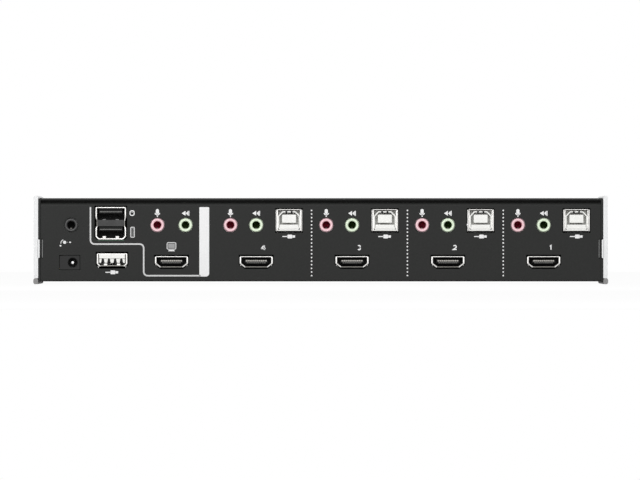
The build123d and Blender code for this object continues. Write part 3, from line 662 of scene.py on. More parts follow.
def videoSocket(name):
    mouth = mouthOf(f"{name}_video_shell", video["drop"])
    outline = videoOutline()
    shell = Form(mouth)
    pressedSleeve(shell, outline, video, sideways(0.12, 0.0))
    solderLegs(shell, video, 1.7)
    seat(shell.made(f"{name}_video_sleeve"), "socket_metal", f"{name}_video_shell")
    core = Form(mouth)
    back = backBlock(core, outline, video, "carrierBlack")
    tongue = softBox(video["tongueWidth"], video["tongueThick"], 0.2, 0, video["tongueRise"])
    core.plug(tongue, video["tongueFront"], back + 0.2, 0.15, "carrierBlack")
    seat(core.made(f"{name}_video_carrier"), "insert_black", f"{name}_video_insert")
    rise, half = video["tongueRise"], video["tongueThick"] / 2
    videoContacts(f"{name}_video_contacts_upper", mouth, rise + half, 10, 0.6, "contact")
    # the lower contacts get the darker copy of the metal, painted shade
    videoContacts(f"{name}_video_contacts_lower", mouth, rise - half, 9, 0.35, "shadedContact")


# flat data sockets, single and stacked
flat = {
    "width": 13.3, "height": 5.8, "stackHeight": 14.6, "bridge": 2.7, "foot": 1.1, "corner": 0.45,
    "wall": 0.4, "lip": 0.8, "flare": 0.6, "curl": 1.4, "reach": 0.3, "setback": 0.3,
    # last two entries below: the share from which the lip is painted as metal, and the darker paint for
    # the rest, painted shade
    "depth": 13.6, "back": 2.4, "litShare": 0.2, "shadedMetal": "contact",
    "block": 2.1, "blockFront": -0.15, "teeth": 2.1, "toothPitch": 2.9, "toothGap": 0.7,
    "toothLean": 0.5,
    "tongueWidth": 11.1, "tongueThick": 2.0, "tongueFront": 0.7,
    "springSpread": 6.1, "springWidth": 1.5, "contactPitch": 2.5, "contactWidth": 0.8,
}


def flatOutline(height, cuts=0):
    side, top, foot = flat["width"] / 2, height / 2, flat["foot"]
    corners = [
        (foot - side, -top), (side - foot, -top), (side, foot - top), (side, top), (-side, top),
        (-side, foot - top),
    ]
    return softOutline(corners, flat["corner"], cuts=cuts)


def gripSprings(form, floor, material="nickel"):
    # two tabs pressed up out of the floor
    bent = [(0.8, -0.1), (1.1, 0.75), (1.8, 1.05), (2.8, 0.8), (5.6, -0.1)]
    section = [(d, floor + rise) for d, rise in bent]
    for side in (-1, 1):
        x = side * flat["springSpread"] / 2
        form.slab(x - flat["springWidth"] / 2, x + flat["springWidth"] / 2, section, material)


def flatTongue(form, middle):  # the contacts lie in its lower half
    back = flat["depth"] - flat["back"] + 0.2
    tongue = softBox(flat["tongueWidth"], flat["tongueThick"], 0.2, 0, middle)
    form.plug(tongue, flat["tongueFront"], back, 0.15, "carrierBlack")
    # the strip across the tongue's front is in the darker contact metal, painted shade
    edge = softBox(flat["tongueWidth"] - 0.7, 0.4, 0.1, 0, middle - 0.2)
    form.plug(edge, flat["tongueFront"] - 0.05, flat["tongueFront"] + 0.4, 0.05, "shadedContact")


def toothedTongue(form, material):
    # a block under the sleeve's top, with tapering teeth; the dark of the contact slots between them is
    # a near-black block behind, painted shade
    back, wide = flat["depth"] - flat["back"] + 0.2, flat["width"] - 2 * flat["wall"] - 0.3
    top, deep, pitch = flat["height"] / 2 - 0.1, flat["teeth"], flat["toothPitch"]
    low = top - flat["block"]
    block = softBox(wide, flat["block"], 0.25, 0, (top + low) / 2)
    form.plug(block, flat["blockFront"], back, 0.2, material)
    # near-black block behind the teeth, painted shade
    form.plug(softBox(wide - 1.0, deep - 0.1, 0.1, 0, low - deep / 2 + 0.1), 1.9, back, 0.1, "boreBlack")
    gap, lean = flat["toothGap"], flat["toothLean"]
    for n in range(5):
        left = max(-wide / 2 + 0.1, (n - 2.5) * pitch + gap / 2)
        right = min(wide / 2 - 0.1, (n - 1.5) * pitch - gap / 2)
        corners = [
            (left + (lean if n else 0.0), low - deep), (right - (lean if n < 4 else 0.0), low - deep),
            (right, low + 0.1), (left, low + 0.1),
        ]
        form.plug(softOutline(corners, 0.15, 2), flat["blockFront"] + 1.1, back, 0.12, material)


def flatContacts(name, mouth, middle):
    # sprung strips in the tongue's slots, bowed down towards the plug
    front, low = flat["tongueFront"] + 0.5, middle - flat["tongueThick"] / 2
    bent = [
        (0.0, 0.5), (0.0, 0.35), (2.2, -0.25), (4.5, -0.3), (8.0, 0.3), (8.0, 0.45), (4.5, -0.15),
        (2.2, -0.1),
    ]
    section = [(front + d, low + rise) for d, rise in bent]
    first, half = -1.5 * flat["contactPitch"], flat["contactWidth"] / 2
    form = Form(mouth)
    # these contacts are in the darker copy of the metal, painted shade
    form.slab(first - half, first + half, section, "shadedContact")
    row = inRow(form.made(name), 4, (mouth[3] * flat["contactPitch"] * mm, 0, 0), "shadedContact")
    return seat(row, "pin_metal")


def flatSocket(name, material, slot, way=1):
    mouth = mouthOf(f"{name}_data_shell", flat["height"] / 2 + flat["flare"], way)
    outline = flatOutline(flat["height"])
    shell = Form(mouth)
    pressedSleeve(shell, outline, flat, sideways(0.3, 0.15))
    gripSprings(shell, flat["wall"] - flat["height"] / 2)
    solderLegs(shell, flat, 2.1)
    seat(shell.made(f"{name}_data_sleeve"), "socket_metal", f"{name}_data_shell")
    core = Form(mouth)
    backBlock(core, outline, flat, material)
    toothedTongue(core, material)
    seat(core.made(f"{name}_data_carrier"), slot, f"{name}_data_insert")


def stackedSocket(name):
    height, bridge, wall = flat["stackHeight"], flat["bridge"], flat["wall"]
    mouth = mouthOf(f"{name}_data_shell", height / 2 + flat["flare"])
    outline = flatOutline(height, cuts=14)

    def splay(point, away):  # the sides stay straight beside the bridge
        level = min(1.0, max(0.0, (abs(point.y) - bridge / 2 - 0.2) / 0.7))
        return sideways(0.45, 0.8)(point, away) * (level if abs(away.x) > 0.9 else 1.0)

    shell = Form(mouth)
    pressedSleeve(shell, outline, flat, splay)
    inner = flat["width"] - 2 * wall
    for side in (-1, 1):
        z = side * (bridge - wall) / 2
        shell.plug(softBox(inner, wall, 0.1, 0, z), 0.8, flat["depth"] - flat["back"], 0.1, "nickel")
    gripSprings(shell, wall - height / 2)
    # the upper springs take the darker copy of the metal, painted shade
    gripSprings(shell, bridge / 2 - 0.3, "shadedMetal")
    seat(shell.made(f"{name}_data_sleeve"), "socket_metal", f"{name}_data_shell")
    core = Form(mouth)
    backBlock(core, outline, flat, "carrierBlack")
    core.plug(softBox(inner - 0.1, bridge + 0.3, 0.12, 0, 0), 0.25, 1.2, 0.12, "bridgeGrey")
    opening = (height - bridge) / 2 - wall
    for side in (-1, 1):
        middle = side * (bridge + opening) / 2 + (opening - flat["tongueThick"]) / 2 - wall
        flatTongue(core, middle)
        flatContacts(f"{name}_data_contacts_{'upper' if side > 0 else 'lower'}", mouth, middle)
    seat(core.made(f"{name}_data_carrier"), "insert_black", f"{name}_data_insert")


# square data sockets
square = {
    "width": 12.1, "height": 10.6, "corner": 0.5, "wall": 0.4, "lip": 0.4, "flare": 0.15,
    # last two entries below: the share from which the lip is painted as metal, and the near-black paint
    # for the rest, painted shade
    "curl": 1.4, "reach": 0.3, "setback": 1.5, "depth": 14.0, "litShare": 0.4, "shadedMetal": "boreBlack",
    "hem": 0.42, "hemDepth": 4.5, "floor": 7.5, "back": 16.4, "riserFront": 7.0,
    "mouthWidth": 9.2, "mouthHeight": 7.6, "bevelRun": 1.8, "bevelRise": 1.9, "mouthFoot": 0.6,
    "collar": 0.6, "collarFront": 0.3, "collarEdge": 0.12, "sill": 0.6, "sillFront": 0.6, "ledge": 1.9,
    "tongueWidth": 6.6, "tongueThick": 3.9, "tongueRise": 0.85, "tongueFront": 0.8,
    "slotWidth": 0.9, "slotSpread": 2.5, "contactWidth": 0.9, "contactSpread": 2.5, "contactFront": 2.6,
}


def keyedOutline():
    # bevelled shoulders, with points on the top side where the collar's slots begin and end
    side, top = square["mouthWidth"] / 2, square["mouthHeight"] / 2
    run, rise, foot = square["bevelRun"], square["bevelRise"], square["mouthFoot"]
    corners = [
        (foot - side, -top), (side - foot, -top), (side, foot - top), (side, top - rise),
        (side - run, top), (run - side, top), (-side, top - rise), (-side, foot - top),
    ]
    outline = softOutline(corners, 0.3, 3)
    last = max(i for i, (point, _) in enumerate(outline) if point.x > 0 and abs(point.y - top) < 1e-6)
    slots = []
    for middle in (square["slotSpread"] / 2, -square["slotSpread"] / 2):
        for shift in (square["slotWidth"] / 2, -square["slotWidth"] / 2):
            slots.append((Vector((middle + shift, top)), Vector((0, 1))))
    return outline[:last + 1] + slots + outline[last + 1:], (last + 1, last + 3)


def squareSocket(name):
    mouth = mouthOf(f"{name}_data_shell")
    shell = Form(mouth)
    outline = softOutline(box(square["width"], square["height"]), square["corner"])
    pressedSleeve(shell, outline, square, sideways(0.5, 0.0))
    for side in (-1, 1):  # the side walls' mouths, folded back inside
        x = side * ((square["width"] - square["hem"]) / 2 - square["wall"])
        hem = softBox(square["hem"] + 0.04, square["height"] - 1.0, 0.12, x)
        shell.plug(hem, -0.1, square["hemDepth"], 0.12, "nickel")
    seat(shell.made(f"{name}_data_sleeve"), "socket_metal", f"{name}_data_shell")
    core, white = Form(mouth), "carrierWhite"
    keyed, gaps = keyedOutline()
    front, wall, edge, floor = (square[key] for key in ("collarFront", "collar", "collarEdge", "floor"))
    stations = [
        (floor, wall), (front + edge, wall), (front, wall - edge), (front, edge), (front + edge, 0.0),
        (floor, 0.0),
    ]
    core.skin([core.ring(grown(keyed, grow), d) for d, grow in stations], white, closed=True, gaps=gaps)
    inner = square["width"] - 2 * square["wall"] - 0.1
    tall = square["height"] - 2 * square["wall"] - 0.1
    core.plug(softBox(inner, tall, 0.3), floor - 1.4, square["back"], 0.1, white)
    ledgeMiddle = (square["ledge"] - square["mouthHeight"]) / 2
    ledge = softBox(square["mouthWidth"] - 0.3, square["ledge"], 0.25, 0, ledgeMiddle)
    core.plug(ledge, front + 0.02, floor, 0.2, white)
    sill = softBox(inner, square["sill"], 0.1, 0, (square["sill"] - tall) / 2)
    core.plug(sill, square["sillFront"], floor, 0.1, white)
    tongue = softBox(square["tongueWidth"], square["tongueThick"], 0.3, 0, square["tongueRise"], 3)
    core.plug(tongue, square["tongueFront"], floor, 0.25, white)
    for side in (-1, 1):  # near-black blocks behind the collar's slots, painted shade
        x, z = side * square["slotSpread"] / 2, square["mouthHeight"] / 2
        dark = softBox(square["slotWidth"], 0.9, 0.1, x, z)
        core.plug(dark, front + 0.4, square["contactFront"], 0.05, "boreBlack")
    for side in (-1, 1):  # contacts above and below the tongue
        z = square["tongueRise"] + side * (square["tongueThick"] / 2 + 0.04)
        for across in (-1, 1):
            strip = softBox(square["contactWidth"], 0.12, 0.04, across * square["contactSpread"] / 2, z)
            core.plug(strip, square["contactFront"], floor - 0.6, 0.04, "contact")
    # riser block on the board
    riserTop, riserLow = -square["height"] / 2, (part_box(f"{name}_data_insert")[0].z - mouth[2]) / mm
    riser = softBox(square["width"], riserTop - riserLow, 0.1, 0, (riserTop + riserLow) / 2)
    core.plug(riser, square["riserFront"], square["back"], 0.1, white)
    seat(core.made(f"{name}_data_carrier"), "insert_white", f"{name}_data_insert")


# audio jacks
jack = {
    "barrel": 3.1, "bore": 1.78, "boreLength": 14.0, "nose": 0.5, "chamfer": 0.42, "bodyWidth": 9.0,
    "bodyDepth": 15.5, "bodyRise": 4.2, "bodyFront": 1.8, "bodyFrontAtBezel": 3.2, "leafWidth": 0.9,
}


def rays(steps=40):
    return [(math.cos(2 * math.pi * i / steps), math.sin(2 * math.pi * i / steps)) for i in range(steps)]


def onBox(ray, low, high, inset=0.0):
    # where a ray meets a box given by its lower left and upper right corners
    reach = min(((high[i] if ray[i] > 0 else -low[i]) - inset) / max(abs(ray[i]), 1e-9) for i in (0, 1))
    return (ray[0] * reach, ray[1] * reach)


def audioJack(node, colour, reach, way=1):
    # a box behind the panel, its round barrel through it, and the bore down the middle
    material, boreShade, slot = f"jack{colour}", f"bore{colour}", f"jack_{colour.lower()}"
    low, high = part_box(node)
    form = Form(mouthOf(node, jack["bodyRise"], way))
    front, barrel, bore = -reach, jack["barrel"], jack["bore"]
    start = jack["bodyFront"] if way > 0 else jack["bodyFrontAtBezel"]
    half, top = jack["bodyWidth"] / 2, jack["bodyRise"]
    corners = (-half, top - (high.z - low.z) / mm), (half, top)
    rings = []
    for d in (start + jack["bodyDepth"], start):
        rings.append(form.ring([onBox(ray, *corners) for ray in rays()], d))
    profile = [(barrel, start)]
    profile += [(barrel + inset, front + shift) for inset, shift in reversed(rounded(jack["nose"], 6))]
    lip, mouth = bore + jack["chamfer"], (bore + 0.05, front + jack["chamfer"])
    profile += [(lip + 0.08, front), (lip - 0.06, front + 0.08), mouth]
    inside = [mouth, (bore, front + 0.6), (bore, front + jack["boreLength"])]
    rings += [form.ring([(r * x, r * z) for x, z in rays()], d) for r, d in profile]
    form.stack(rings, material, (True, False))
    # the bore takes the deeper, darker paint, painted shade
    throat = [form.ring([(r * x, r * z) for x, z in rays()], d) for r, d in inside]
    form.stack(throat, boreShade, (False, True))
    leaf = [(2.2, -0.2), (2.5, 0.4), (3.4, 0.6), (7.0, -0.2)]  # bent up off the bore's floor
    leaf = [(front + d, rise - bore) for d, rise in leaf]
    form.slab(-jack["leafWidth"] / 2, jack["leafWidth"] / 2, leaf, "contact")
    seat(form.made(f"{node}_moulding"), slot, node)


# supply jack
supply = {
    "width": 9.6, "height": 6.7, "depth": 12.0, "edge": 0.15,
    "bore": 2.0, "boreShift": 1.4, "boreLength": 9.5, "pin": 0.75, "pinFront": 0.7,
}


def supplyJack():
    mouth = mouthOf("dc_jack_body")
    shift, bore = supply["boreShift"], supply["bore"]
    half, tall = supply["width"] / 2, supply["height"] / 2
    corners = (-half - shift, -tall), (half - shift, tall)
    edge, outlines = supply["edge"], []
    for inset, d in ((0.0, supply["depth"]), (0.0, edge), (edge, 0.0)):
        outlines.append(([onBox(ray, *corners, inset) for ray in rays()], d))
    for wider, d in ((0.45, 0.0), (0.3, 0.12), (0.05, 0.5), (0.0, 0.8), (0.0, supply["boreLength"])):
        outlines.append(([((bore + wider) * x, (bore + wider) * z) for x, z in rays()], d))
    body = Form(mouth)
    rings = [body.ring([(x + shift, z) for x, z in outline], d) for outline, d in outlines]
    body.stack(rings, "shellBlack")
    seat(body.made("supply_jack_moulding"), "jack_black", "dc_jack_body")
    pin = Form(mouth)
    radius, front = supply["pin"], supply["pinFront"]
    tip = [(0.12, front), (radius * 0.55, front + 0.06), (radius * 0.88, front + 0.22)]
    tip += [(radius, front + 0.5), (radius, supply["boreLength"])]
    pin.turned((shift, 0, 0), tip, "pin", steps=28)
    seat(pin.made("supply_jack_pin"), "pin_metal", "dc_jack_pin")


ports = (1, 2, 3, 4)
groups = ("console", *(f"port_{n}" for n in ports))
for name in groups:
    videoSocket(name)
stackedSocket("console")
flatSocket("hub", "carrierWhite", "insert_white")
flatSocket("front", "carrierWhite", "insert_white", -1)
for n in ports:
    squareSocket(f"port_{n}")
for name in groups:
    audioJack(f"{name}_mic_jack", "Pink", 0.9)
    audioJack(f"{name}_speaker_jack", "Green", 0.9)
audioJack("upgrade_jack", "Black", 0.9)
audioJack("front_mic_jack", "Pink", -0.3, -1)
audioJack("front_speaker_jack", "Green", -0.3, -1)
supplyJack()
print("sockets done")


# case
cheek = {
    "inner": 132.7, "web": 2.0, "bow": 0.1, "bead": 1.1, "groove": 0.6, "slot": 0.5, "slotRise": 1.3,
    "tabReach": 0.7, "tabDepth": 3.0, "tabLow": 12.3, "tabRise": 8.7, "edge": 0.12, "closed": 1.2,
    "peg": 2.0, "pegY": (-30, 30), "pegZ": 30.0,
    "pocket": 2.9, "pocketDepth": 1.1, "screwY": (-52, 0, 52), "screwZ": 7.5,
}
strip = {"bead": 1.15, "rise": 0.7, "flat": 0.5, "tongue": 0.4, "tongueRise": 1.2}  # under each cheek


def depthOf(y):  # from the panel's face towards the bezel, in millimetres
    return (y - rearFace) / mm


def cheekLevels():
    # the cheek's foot, the neck under its bead, and how far out the foot strip runs
    low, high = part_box("right_cheek")
    neck = high.z / mm - 2 * cheek["bead"]
    return low.z / mm, neck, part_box("rubber_feet")[1].x / mm - strip["bead"]


def cheekOutline(side):
    # the web's outer side bows out a little, under a groove and a bead all along the top
    foot, neck, slotX = cheekLevels()
    inner, bead, outer = cheek["inner"], cheek["bead"], cheek["inner"] + cheek["web"]
    points = [(inner, foot)]
    for reach in (-cheek["slot"], cheek["slot"]):
        ends = [(slotX + reach, foot), (slotX + reach, foot + cheek["slotRise"])]
        points += ends if reach < 0 else ends[::-1]
    for step in range(13):
        t = step / 12
        bowed = outer - 0.05 * t + 4 * cheek["bow"] * t * (1 - t)
        points.append((bowed, foot + (neck - 0.76 - foot) * t))
    points += arc(outer, neck, cheek["groove"], 262, 96, 13)
    points += arc(inner + bead, neck + bead, bead, -27, 180, 40)
    return sharpOutline([(side * x, z) for x, z in (points if side > 0 else reversed(points))])


def sideCheek(node, side):
    back, inner = depthOf(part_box(node)[1].y), cheek["inner"]
    form = onPanel()
    form.plug(cheekOutline(side), 0.0, back, cheek["edge"], "cheekPlastic", both=True, steps=3)
    reach = cheek["tabReach"]
    for start in (0.0, depthOf(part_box("chassis_tray")[1].y) - cheek["tabDepth"]):
        x, z = side * (inner + (0.4 - reach) / 2), cheek["tabLow"] + cheek["tabRise"] / 2
        tab = softBox(reach + 0.4, cheek["tabRise"], 0.2, x, z)
        form.plug(tab, start, start + cheek["tabDepth"], 0.15, "cheekPlastic", both=True)
    for y in cheek["pegY"]:
        profile = [(cheek["peg"], 0.3), (cheek["peg"], -0.9), (cheek["peg"] - 0.2, -1.1)]
        centre = (side * inner, cheek["pegZ"], y - rearFace / mm)
        form.turned(centre, [(r, side * x) for r, x in profile], "cheekPlastic", 0, 24)
    piece = form.made(node.replace("cheek", "side"))
    knife = onPanel()
    for y in cheek["screwY"]:
        pocket = [(cheek["pocket"], -side * 0.5), (cheek["pocket"], side * cheek["pocketDepth"])]
        knife.turned((side * inner, cheek["screwZ"], y - rearFace / mm), pocket, "cheekPlastic", 0, 24)
    seat(cut(piece, knife.made("pockets")), "cheek_plastic", node)
    # the groove and the foot's slot are closed at the panel's end
    ends = onPanel()
    foot, neck, slotX = cheekLevels()
    groove = arc(inner + cheek["web"], neck, cheek["groove"] + 0.02, 83, 262, 14)
    groove = sharpOutline([(side * x, z) for x, z in (groove if side > 0 else groove[::-1])])
    ends.plug(groove, 0.06, cheek["closed"], 0.05, "cheekPlastic")
    z = foot + cheek["slotRise"] / 2
    slot = softBox(2 * cheek["slot"] + 0.04, cheek["slotRise"], 0.05, side * slotX, z)
    ends.plug(slot, 0.06, cheek["closed"], 0.05, "cheekPlastic")
    seat(ends.made(node.replace("cheek", "ends")), "cheek_plastic")


def footStrips():
    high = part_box("rubber_feet")[1]
    bead, flatHalf, x = strip["bead"], strip["flat"], cheekLevels()[2]
    lowZ = math.sqrt(bead ** 2 - flatHalf ** 2)
    highZ, top = lowZ + strip["rise"], high.z / mm
    shoulder = top - strip["tongueRise"]
    form = onPanel()
    for side in (-1, 1):
        start = -math.degrees(math.acos(flatHalf / bead))
        end = math.degrees(math.asin((shoulder - highZ) / bead))
        points = arc(x, lowZ, bead, start, 0, 10) + arc(x, highZ, bead, 0, end, 10)
        points += arc(x, highZ, bead, 180 - end, 180, 10) + arc(x, lowZ, bead, 180, 180 - start, 10)
        points = [(side * px, max(0.0, pz)) for px, pz in points]
        outline = sharpOutline(points if side > 0 else points[::-1])
        form.plug(outline, 0.0, depthOf(high.y), 0.15, "footRubber", both=True)
        z = (top + shoulder - 0.2) / 2
        rib = softBox(2 * strip["tongue"], top - shoulder + 0.2, 0.1, side * x, z)
        form.plug(rib, cheek["closed"] + 0.1, depthOf(high.y) - 0.1, 0.1, "footRubber", both=True)
    seat(form.made("foot_strips"), "foot_rubber", "rubber_feet")


# near-black strip behind the gap under the cover, painted shade
shadeStrip = {"width": 264.4, "thick": 1.0, "rise": 0.42, "front": 2.2, "back": 4.2, "edge": 0.2}


def gapShadeStrip():  # near-black strip behind the gap between the panel's top and the cover, a dark sheet painting the gap's shade
    form, top = onPanel(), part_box("connector_panel")[1].z / mm
    outline = softBox(shadeStrip["width"], shadeStrip["thick"], shadeStrip["edge"], 0, top + shadeStrip["rise"])
    form.plug(outline, shadeStrip["front"], shadeStrip["back"], shadeStrip["edge"], "shadeStrip")
    seat(form.made("gap_shade_strip"), "foot_rubber")


# the last two keys place the grey strip that paints the notch edge's highlight
trim = {"backX": 130.75, "backWidth": 2.3, "backFront": 1.02, "glintX": 130.72, "glintWidth": 0.22}


def notchTrim():
    # the folded steel behind each notch in the panel's ends, and a grey strip along the notch's edge as
    # a painted highlight
    form, middle = onPanel(), cheek["tabLow"] + cheek["tabRise"] / 2
    for side in (-1, 1):
        backing = softBox(trim["backWidth"], cheek["tabRise"] + 1.4, 0.1, side * trim["backX"], middle)
        form.plug(backing, trim["backFront"], trim["backFront"] + 0.38, 0.05, "panelCoat")
        # grey strip at the notch's edge, a painted highlight
        edge = softBox(trim["glintWidth"], cheek["tabRise"] - 0.4, 0.05, side * trim["glintX"], middle)
        form.plug(edge, 0.1, 0.9, 0.05, "greyInk")
    seat(form.made("notch_trim"), "panel_powder")


dressed("chassis_tray", "tray", "panel_powder", "panelCoat", 0.12)
dressed("connector_panel", "panel", "panel_powder", "panelCoat", 0.12, roll=0.6)
dressed("top_cover", "cover", "cover_powder", "coverCoat", 0.15)
dressed("front_bezel", "bezel", "bezel_plastic", "bezelPlastic", 0.15)
sideCheek("left_cheek", -1)
sideCheek("right_cheek", 1)
footStrips()
notchTrim()
gapShadeStrip()
print("case done")

# pushbuttons
button = {
    "width": 11.0, "height": 5.6, "corner": 1.1, "edge": 0.55, "lip": 1.0, "lipThick": 0.8, "dish": 0.12,
    "plunger": 1.54,  # clears the flats of the six-sided hole in the switch
}


def pushButton(node):
    low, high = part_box(node)
    form = Form(((low.x + high.x) / 2, high.y, (low.z + high.z) / 2, -1))
    deep = (high.y - low.y) / mm
    lipFront = (high.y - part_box("chassis_tray")[1].y) / mm + 0.15
    outline = softOutline(box(button["width"], button["height"]), button["corner"], 6)
    rings = []
    for inset, share in ((2.3, 1.0), (1.3, 0.6)):  # a shallow dish
        inner = softOutline(box(button["width"] - 2 * inset, button["height"] - 2 * inset), 0.45, 6)
        rings.append(form.ring(grown(inner, 0.0), button["dish"] * share))
    for inset, shift in rounded(button["edge"], 5):
        rings.append(form.ring(grown(outline, inset), shift))
    rings.append(form.ring(grown(outline, 0.0), lipFront))
    form.stack(rings, "capPlastic")
    lip = softBox(button["width"] + 2 * button["lip"], button["height"] + 2 * button["lip"], 0.3)
    form.plug(lip, lipFront, lipFront + button["lipThick"], 0.1, "capPlastic", both=True)
    radius = button["plunger"]
    plunger = [(radius, lipFront + button["lipThick"] - 0.1), (radius, deep - 0.2), (radius - 0.2, deep)]
    form.turned((0, 0, 0), plunger, "capPlastic", steps=24)
    seat(form.made(f"{node}_cap"), "cap_grey", node, body=f"{node}_body")


for n in ports:
    pushButton(f"port_button_{n}")
pushButton("mode_button")
dressed("light_guides", "lamp_windows", "guide_clear", "guide", 0.12)
print("buttons done")

# boards and what they carry
for node, slot, material, edge in (
    ("main_board", "board_green", "laminate", 0.05),
    ("upper_board", "board_green", "laminate", 0.05),
    ("front_board", "board_green", "laminate", 0.05),
    ("board_components", "chip_black", "chipBlack", 0.1),
    ("tact_switches", "switch_black", "chipBlack", 0.1),
    ("board_spacers", "standoff_brass", "brass", 0.1),
    ("board_screws", "screw_steel", "zinc", 0.12),
    ("case_screws", "screw_steel", "zinc", 0.12),
):
    dressed(node, f"{node}_dressed", slot, material, edge)
print("boards done")

# printing on the panel
printed = {
    "front": -0.03, "back": 0.01, "line": 0.7, "corner": 1.9,
    "dot": 0.36, "dotPitch": 1.7, "dots": 19, "dotLow": 4.05, "dividers": {3: -4.3, 2: 40.7, 1: 85.7},
    "numeral": (3.3, 17.2), "numeralHeight": 1.9, "numeralLine": 0.55,
    "mic": 33.4, "speaker": 33.3, "portPlug": 22.4, "hubPlug": 5.6, "screen": 17.5,
    "mouse": (-88.6, 33.4), "keys": (-88.4, 24.4), "polarity": (-120.3, 19.7),
}


def ruled(form, path, width, closed=False, material="ink"):
    form.stroke(path, width, printed["front"], printed["back"], material, closed)


def filled(form, points, material="ink"):
    form.stack([form.ring(points, printed[d]) for d in ("front", "back")], material)


frameLine = {"left": -108.15, "middle": -83.15, "right": -56.5, "top": 36.2, "step": 18.85, "low": 4.0}
frameBar = {"left": -57.0, "right": -52.4, "low": 3.6, "top": 36.2}


def consoleFrame():
    form, r = onPanel(), printed["corner"]
    left, middle, right, top, step, low = frameLine.values()
    path = [(left, top)] + arc(left + r, step + r, r, 180, 270, 8)
    path += arc(middle - r, step - r, r, 90, 0, 8)
    path += arc(middle + r, low + r, r, 180, 270, 8) + [(right, low)]
    ruled(form, path, printed["line"], material="lineInk")
    x0, x1, z0, z1 = frameBar.values()
    bar = [(x0, z0)] + arc(x1 - 1.5, z0 + 1.5, 1.5, -90, 0, 8) + arc(x1 - 0.3, z1 - 0.3, 0.3, 0, 90, 3)
    filled(form, bar + arc(x0 + 0.3, z1 - 0.3, 0.3, 90, 180, 3))
    seat(form.made("console_frame_print"), "insert_white")


def divider(n, x):
    form = Form((x * mm, rearFace, printed["dotLow"] * mm, 1))
    filled(form, arc(0, 0, printed["dot"], 0, 345, 23))
    step = (0, 0, printed["dotPitch"] * mm)
    seat(inRow(form.made(f"bay_divider_{n}"), printed["dots"], step, "ink"), "insert_white")


digits = {  # strokes in a box one unit high
    1: [[(-0.2, 0.34), (0.06, 0.5), (0.06, -0.5)]],
    2: [arc(0, 0.2, 0.34, 160, -30, 8) + [(-0.38, -0.46), (0.42, -0.46)]],
    3: [arc(0, 0.25, 0.28, 150, -85, 8), arc(0, -0.23, 0.31, 85, -150, 8)],
    4: [[(0.22, 0.54), (-0.5, -0.2)], [(-0.56, -0.22), (0.56, -0.22)], [(0.24, 0.6), (0.24, -0.56)]],
}


def softPath(width, height, x, z, radius):
    return grown(softOutline(box(width, height, x, z), radius), 0.0)


def numeral(form, n, x, z):
    height = printed["numeralHeight"]
    for path in digits[n]:
        ruled(form, [(x + px * height, z + pz * height) for px, pz in path], printed["numeralLine"])


def micSign(form, x, z):
    filled(form, arc(x, z + 1.15, 0.75, 0, 180, 10) + arc(x, z + 0.3, 0.75, 180, 360, 10))
    ruled(form, arc(x, z + 0.3, 1.12, 195, 345, 12), 0.46)
    ruled(form, [(x, z - 0.8), (x, z - 1.8)], 0.5)


def speakerSign(form, x, z):
    for shift, width in ((-1.8, 1.8), (0.1, 1.2)):
        filled(form, [(x + shift, z), (x + shift + width, z - 1.15), (x + shift + width, z + 1.15)])
    ruled(form, [(x + 1.6, z - 1.15), (x + 1.6, z + 1.15)], 0.36)


def screenSign(form, x, z):
    ruled(form, softPath(4.1, 3.1, x, z + 0.5, 0.6), 0.4, True, "lineInk")
    filled(form, box(3.1, 2.1, x, z + 0.5), "greyInk")
    filled(form, [(x - 1.6, z - 2.0), (x + 1.6, z - 2.0), (x + 1.2, z - 1.4), (x - 1.2, z - 1.4)])


def mouseSign(form, x, z):
    ruled(form, softPath(1.9, 2.2, x, z, 0.7), 0.42, True)
    ruled(form, [(x, z + 0.75), (x, z + 0.2)], 0.35)


def keysSign(form, x, z):
    ruled(form, softPath(1.7, 4.7, x, z, 0.4), 0.4, True, "lineInk")
    for column in (-0.3, 0.3):
        for row in range(7):
            filled(form, box(0.34, 0.38, x + column, z + (row - 3) * 0.58), "greyInk")


def plugSign(form, x, z):  # a plain plug on its lead
    ruled(form, [(x - 3.1, z), (x - 0.6, z)], 0.45)
    filled(form, softPath(2.3, 1.8, x + 0.4, z, 0.4))
    filled(form, box(1.2, 1.1, x + 2.25, z))


def polaritySign(form, x, z):  # ring, centre contact and the leads to both
    filled(form, arc(x, z, 0.75, 0, 345, 23))
    ruled(form, arc(x, z - 0.5, 1.75, 110, 185, 8), 0.4, material="lineInk")
    filled(form, arc(x - 1.9, z - 1.6, 0.42, 0, 330, 11))
    ruled(form, [(x + 0.7, z), (x + 1.6, z)], 0.25, material="greyInk")
    filled(form, arc(x + 2.6, z, 0.4, 0, 330, 11))


def midX(node):
    return mouthOf(node)[0] / mm


def signs():
    form = onPanel()
    for name in groups:
        micSign(form, midX(f"{name}_mic_jack"), printed["mic"])
        speakerSign(form, midX(f"{name}_speaker_jack"), printed["speaker"])
    right, z = printed["numeral"]
    for n in ports:
        numeral(form, n, midX(f"port_{n}_video_shell") + right, z)
        plugSign(form, midX(f"port_{n}_data_shell"), printed["portPlug"])
    screenSign(form, midX("console_video_shell"), printed["screen"])
    mouseSign(form, *printed["mouse"])
    keysSign(form, *printed["keys"])
    plugSign(form, midX("hub_data_shell"), printed["hubPlug"])
    polaritySign(form, *printed["polarity"])
    seat(form.made("panel_signs"), "insert_white")


consoleFrame()
for n, x in printed["dividers"].items():
    divider(n, x)
signs()
print("printing done")

# floor, lamps and camera
stage = {
    "floor": 0.85, "floorLift": 0.955, "floorHalf": 3.0, "world": 0.46,
    "distance": 8.0, "lens": 958.25, "middle": (-0.00035, 0.02076),
    "lamps": {  # place, size across, watts
        "front": ((0.0, -2.9, 0.6), 0.8, 7.0),
        "left": ((-0.3, -0.95, 0.3), 0.3, 2.8),
        "right": ((0.36, -0.95, 0.3), 0.3, 1.0),
        "above": ((0.1, 0.2, 1.2), 0.8, 2.5),
    },
}


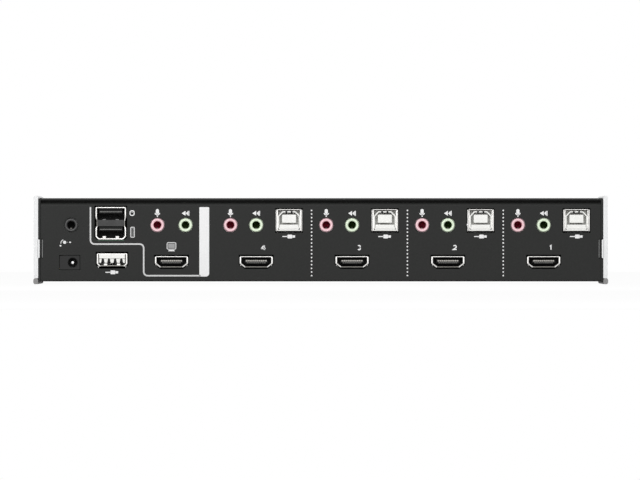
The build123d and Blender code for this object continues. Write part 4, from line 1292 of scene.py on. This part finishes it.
def seenRays(tree):
    # 1 for the rays that show the background: the camera's, reflected and refracted ones
    path = tree.nodes.new("ShaderNodeLightPath")
    seen = Wire(tree, path.outputs["Is Camera Ray"])
    for name in ("Is Glossy Ray", "Is Transmission Ray"):
        seen = seen.maths("MAXIMUM", Wire(tree, path.outputs[name]))
    return seen


def floorFinish():
    coat = bpy.data.materials.new("floor")
    coat.use_nodes = True
    tree = coat.node_tree
    matt = tree.nodes["Principled BSDF"]
    matt.inputs["Base Color"].default_value = (stage["floor"],) * 3 + (1.0,)
    matt.inputs["Roughness"].default_value = 0.9
    matt.inputs["Specular IOR Level"].default_value = 0.0
    plain, both = tree.nodes.new("ShaderNodeEmission"), tree.nodes.new("ShaderNodeMixShader")
    feed(tree, both.inputs[0], seenRays(tree) * stage["floorLift"])
    tree.links.new(matt.outputs[0], both.inputs[1])
    tree.links.new(plain.outputs[0], both.inputs[2])
    tree.links.new(both.outputs[0], tree.nodes["Material Output"].inputs["Surface"])
    return coat


def setStage():
    data = bpy.data.meshes.new("floor")
    corners = [(*corner, 0) for corner in box(2 * stage["floorHalf"], 2 * stage["floorHalf"])]
    data.from_pydata(corners, [], [(0, 1, 2, 3)])
    data.materials.append(floorFinish())
    pieces = [bpy.data.objects.new("floor", data)]
    for name, (place, across, watts) in stage["lamps"].items():
        light = bpy.data.lights.new(name, "AREA")
        light.shape, light.size, light.energy = "DISK", across, watts
        lamp = bpy.data.objects.new(name, light)
        lamp.location = place
        lamp.rotation_euler = (-Vector(place)).to_track_quat("-Z", "Y").to_euler()
        pieces.append(lamp)
    lens = bpy.data.cameras.new("camera")
    lens.lens, lens.sensor_width = stage["lens"], 36.0
    lens.clip_start, lens.clip_end = 0.01, 20.0
    camera = bpy.data.objects.new("camera", lens)
    x, z = stage["middle"]
    camera.location = (x, rearFace - stage["distance"], z)
    camera.rotation_euler = (math.pi / 2, 0.0, 0.0)
    for piece in (*pieces, camera):
        scene.collection.objects.link(piece)
    scene.camera = camera
    world = bpy.data.worlds.new("world")
    scene.world = world
    world.use_nodes = True
    sky = world.node_tree.nodes["Background"]
    sky.inputs["Color"].default_value = (1.0, 1.0, 1.0, 1.0)
    dim = stage["world"]
    feed(world.node_tree, sky.inputs["Strength"], seenRays(world.node_tree) * (1 - dim) + dim)
    scene.view_settings.view_transform = "Standard"


setStage()
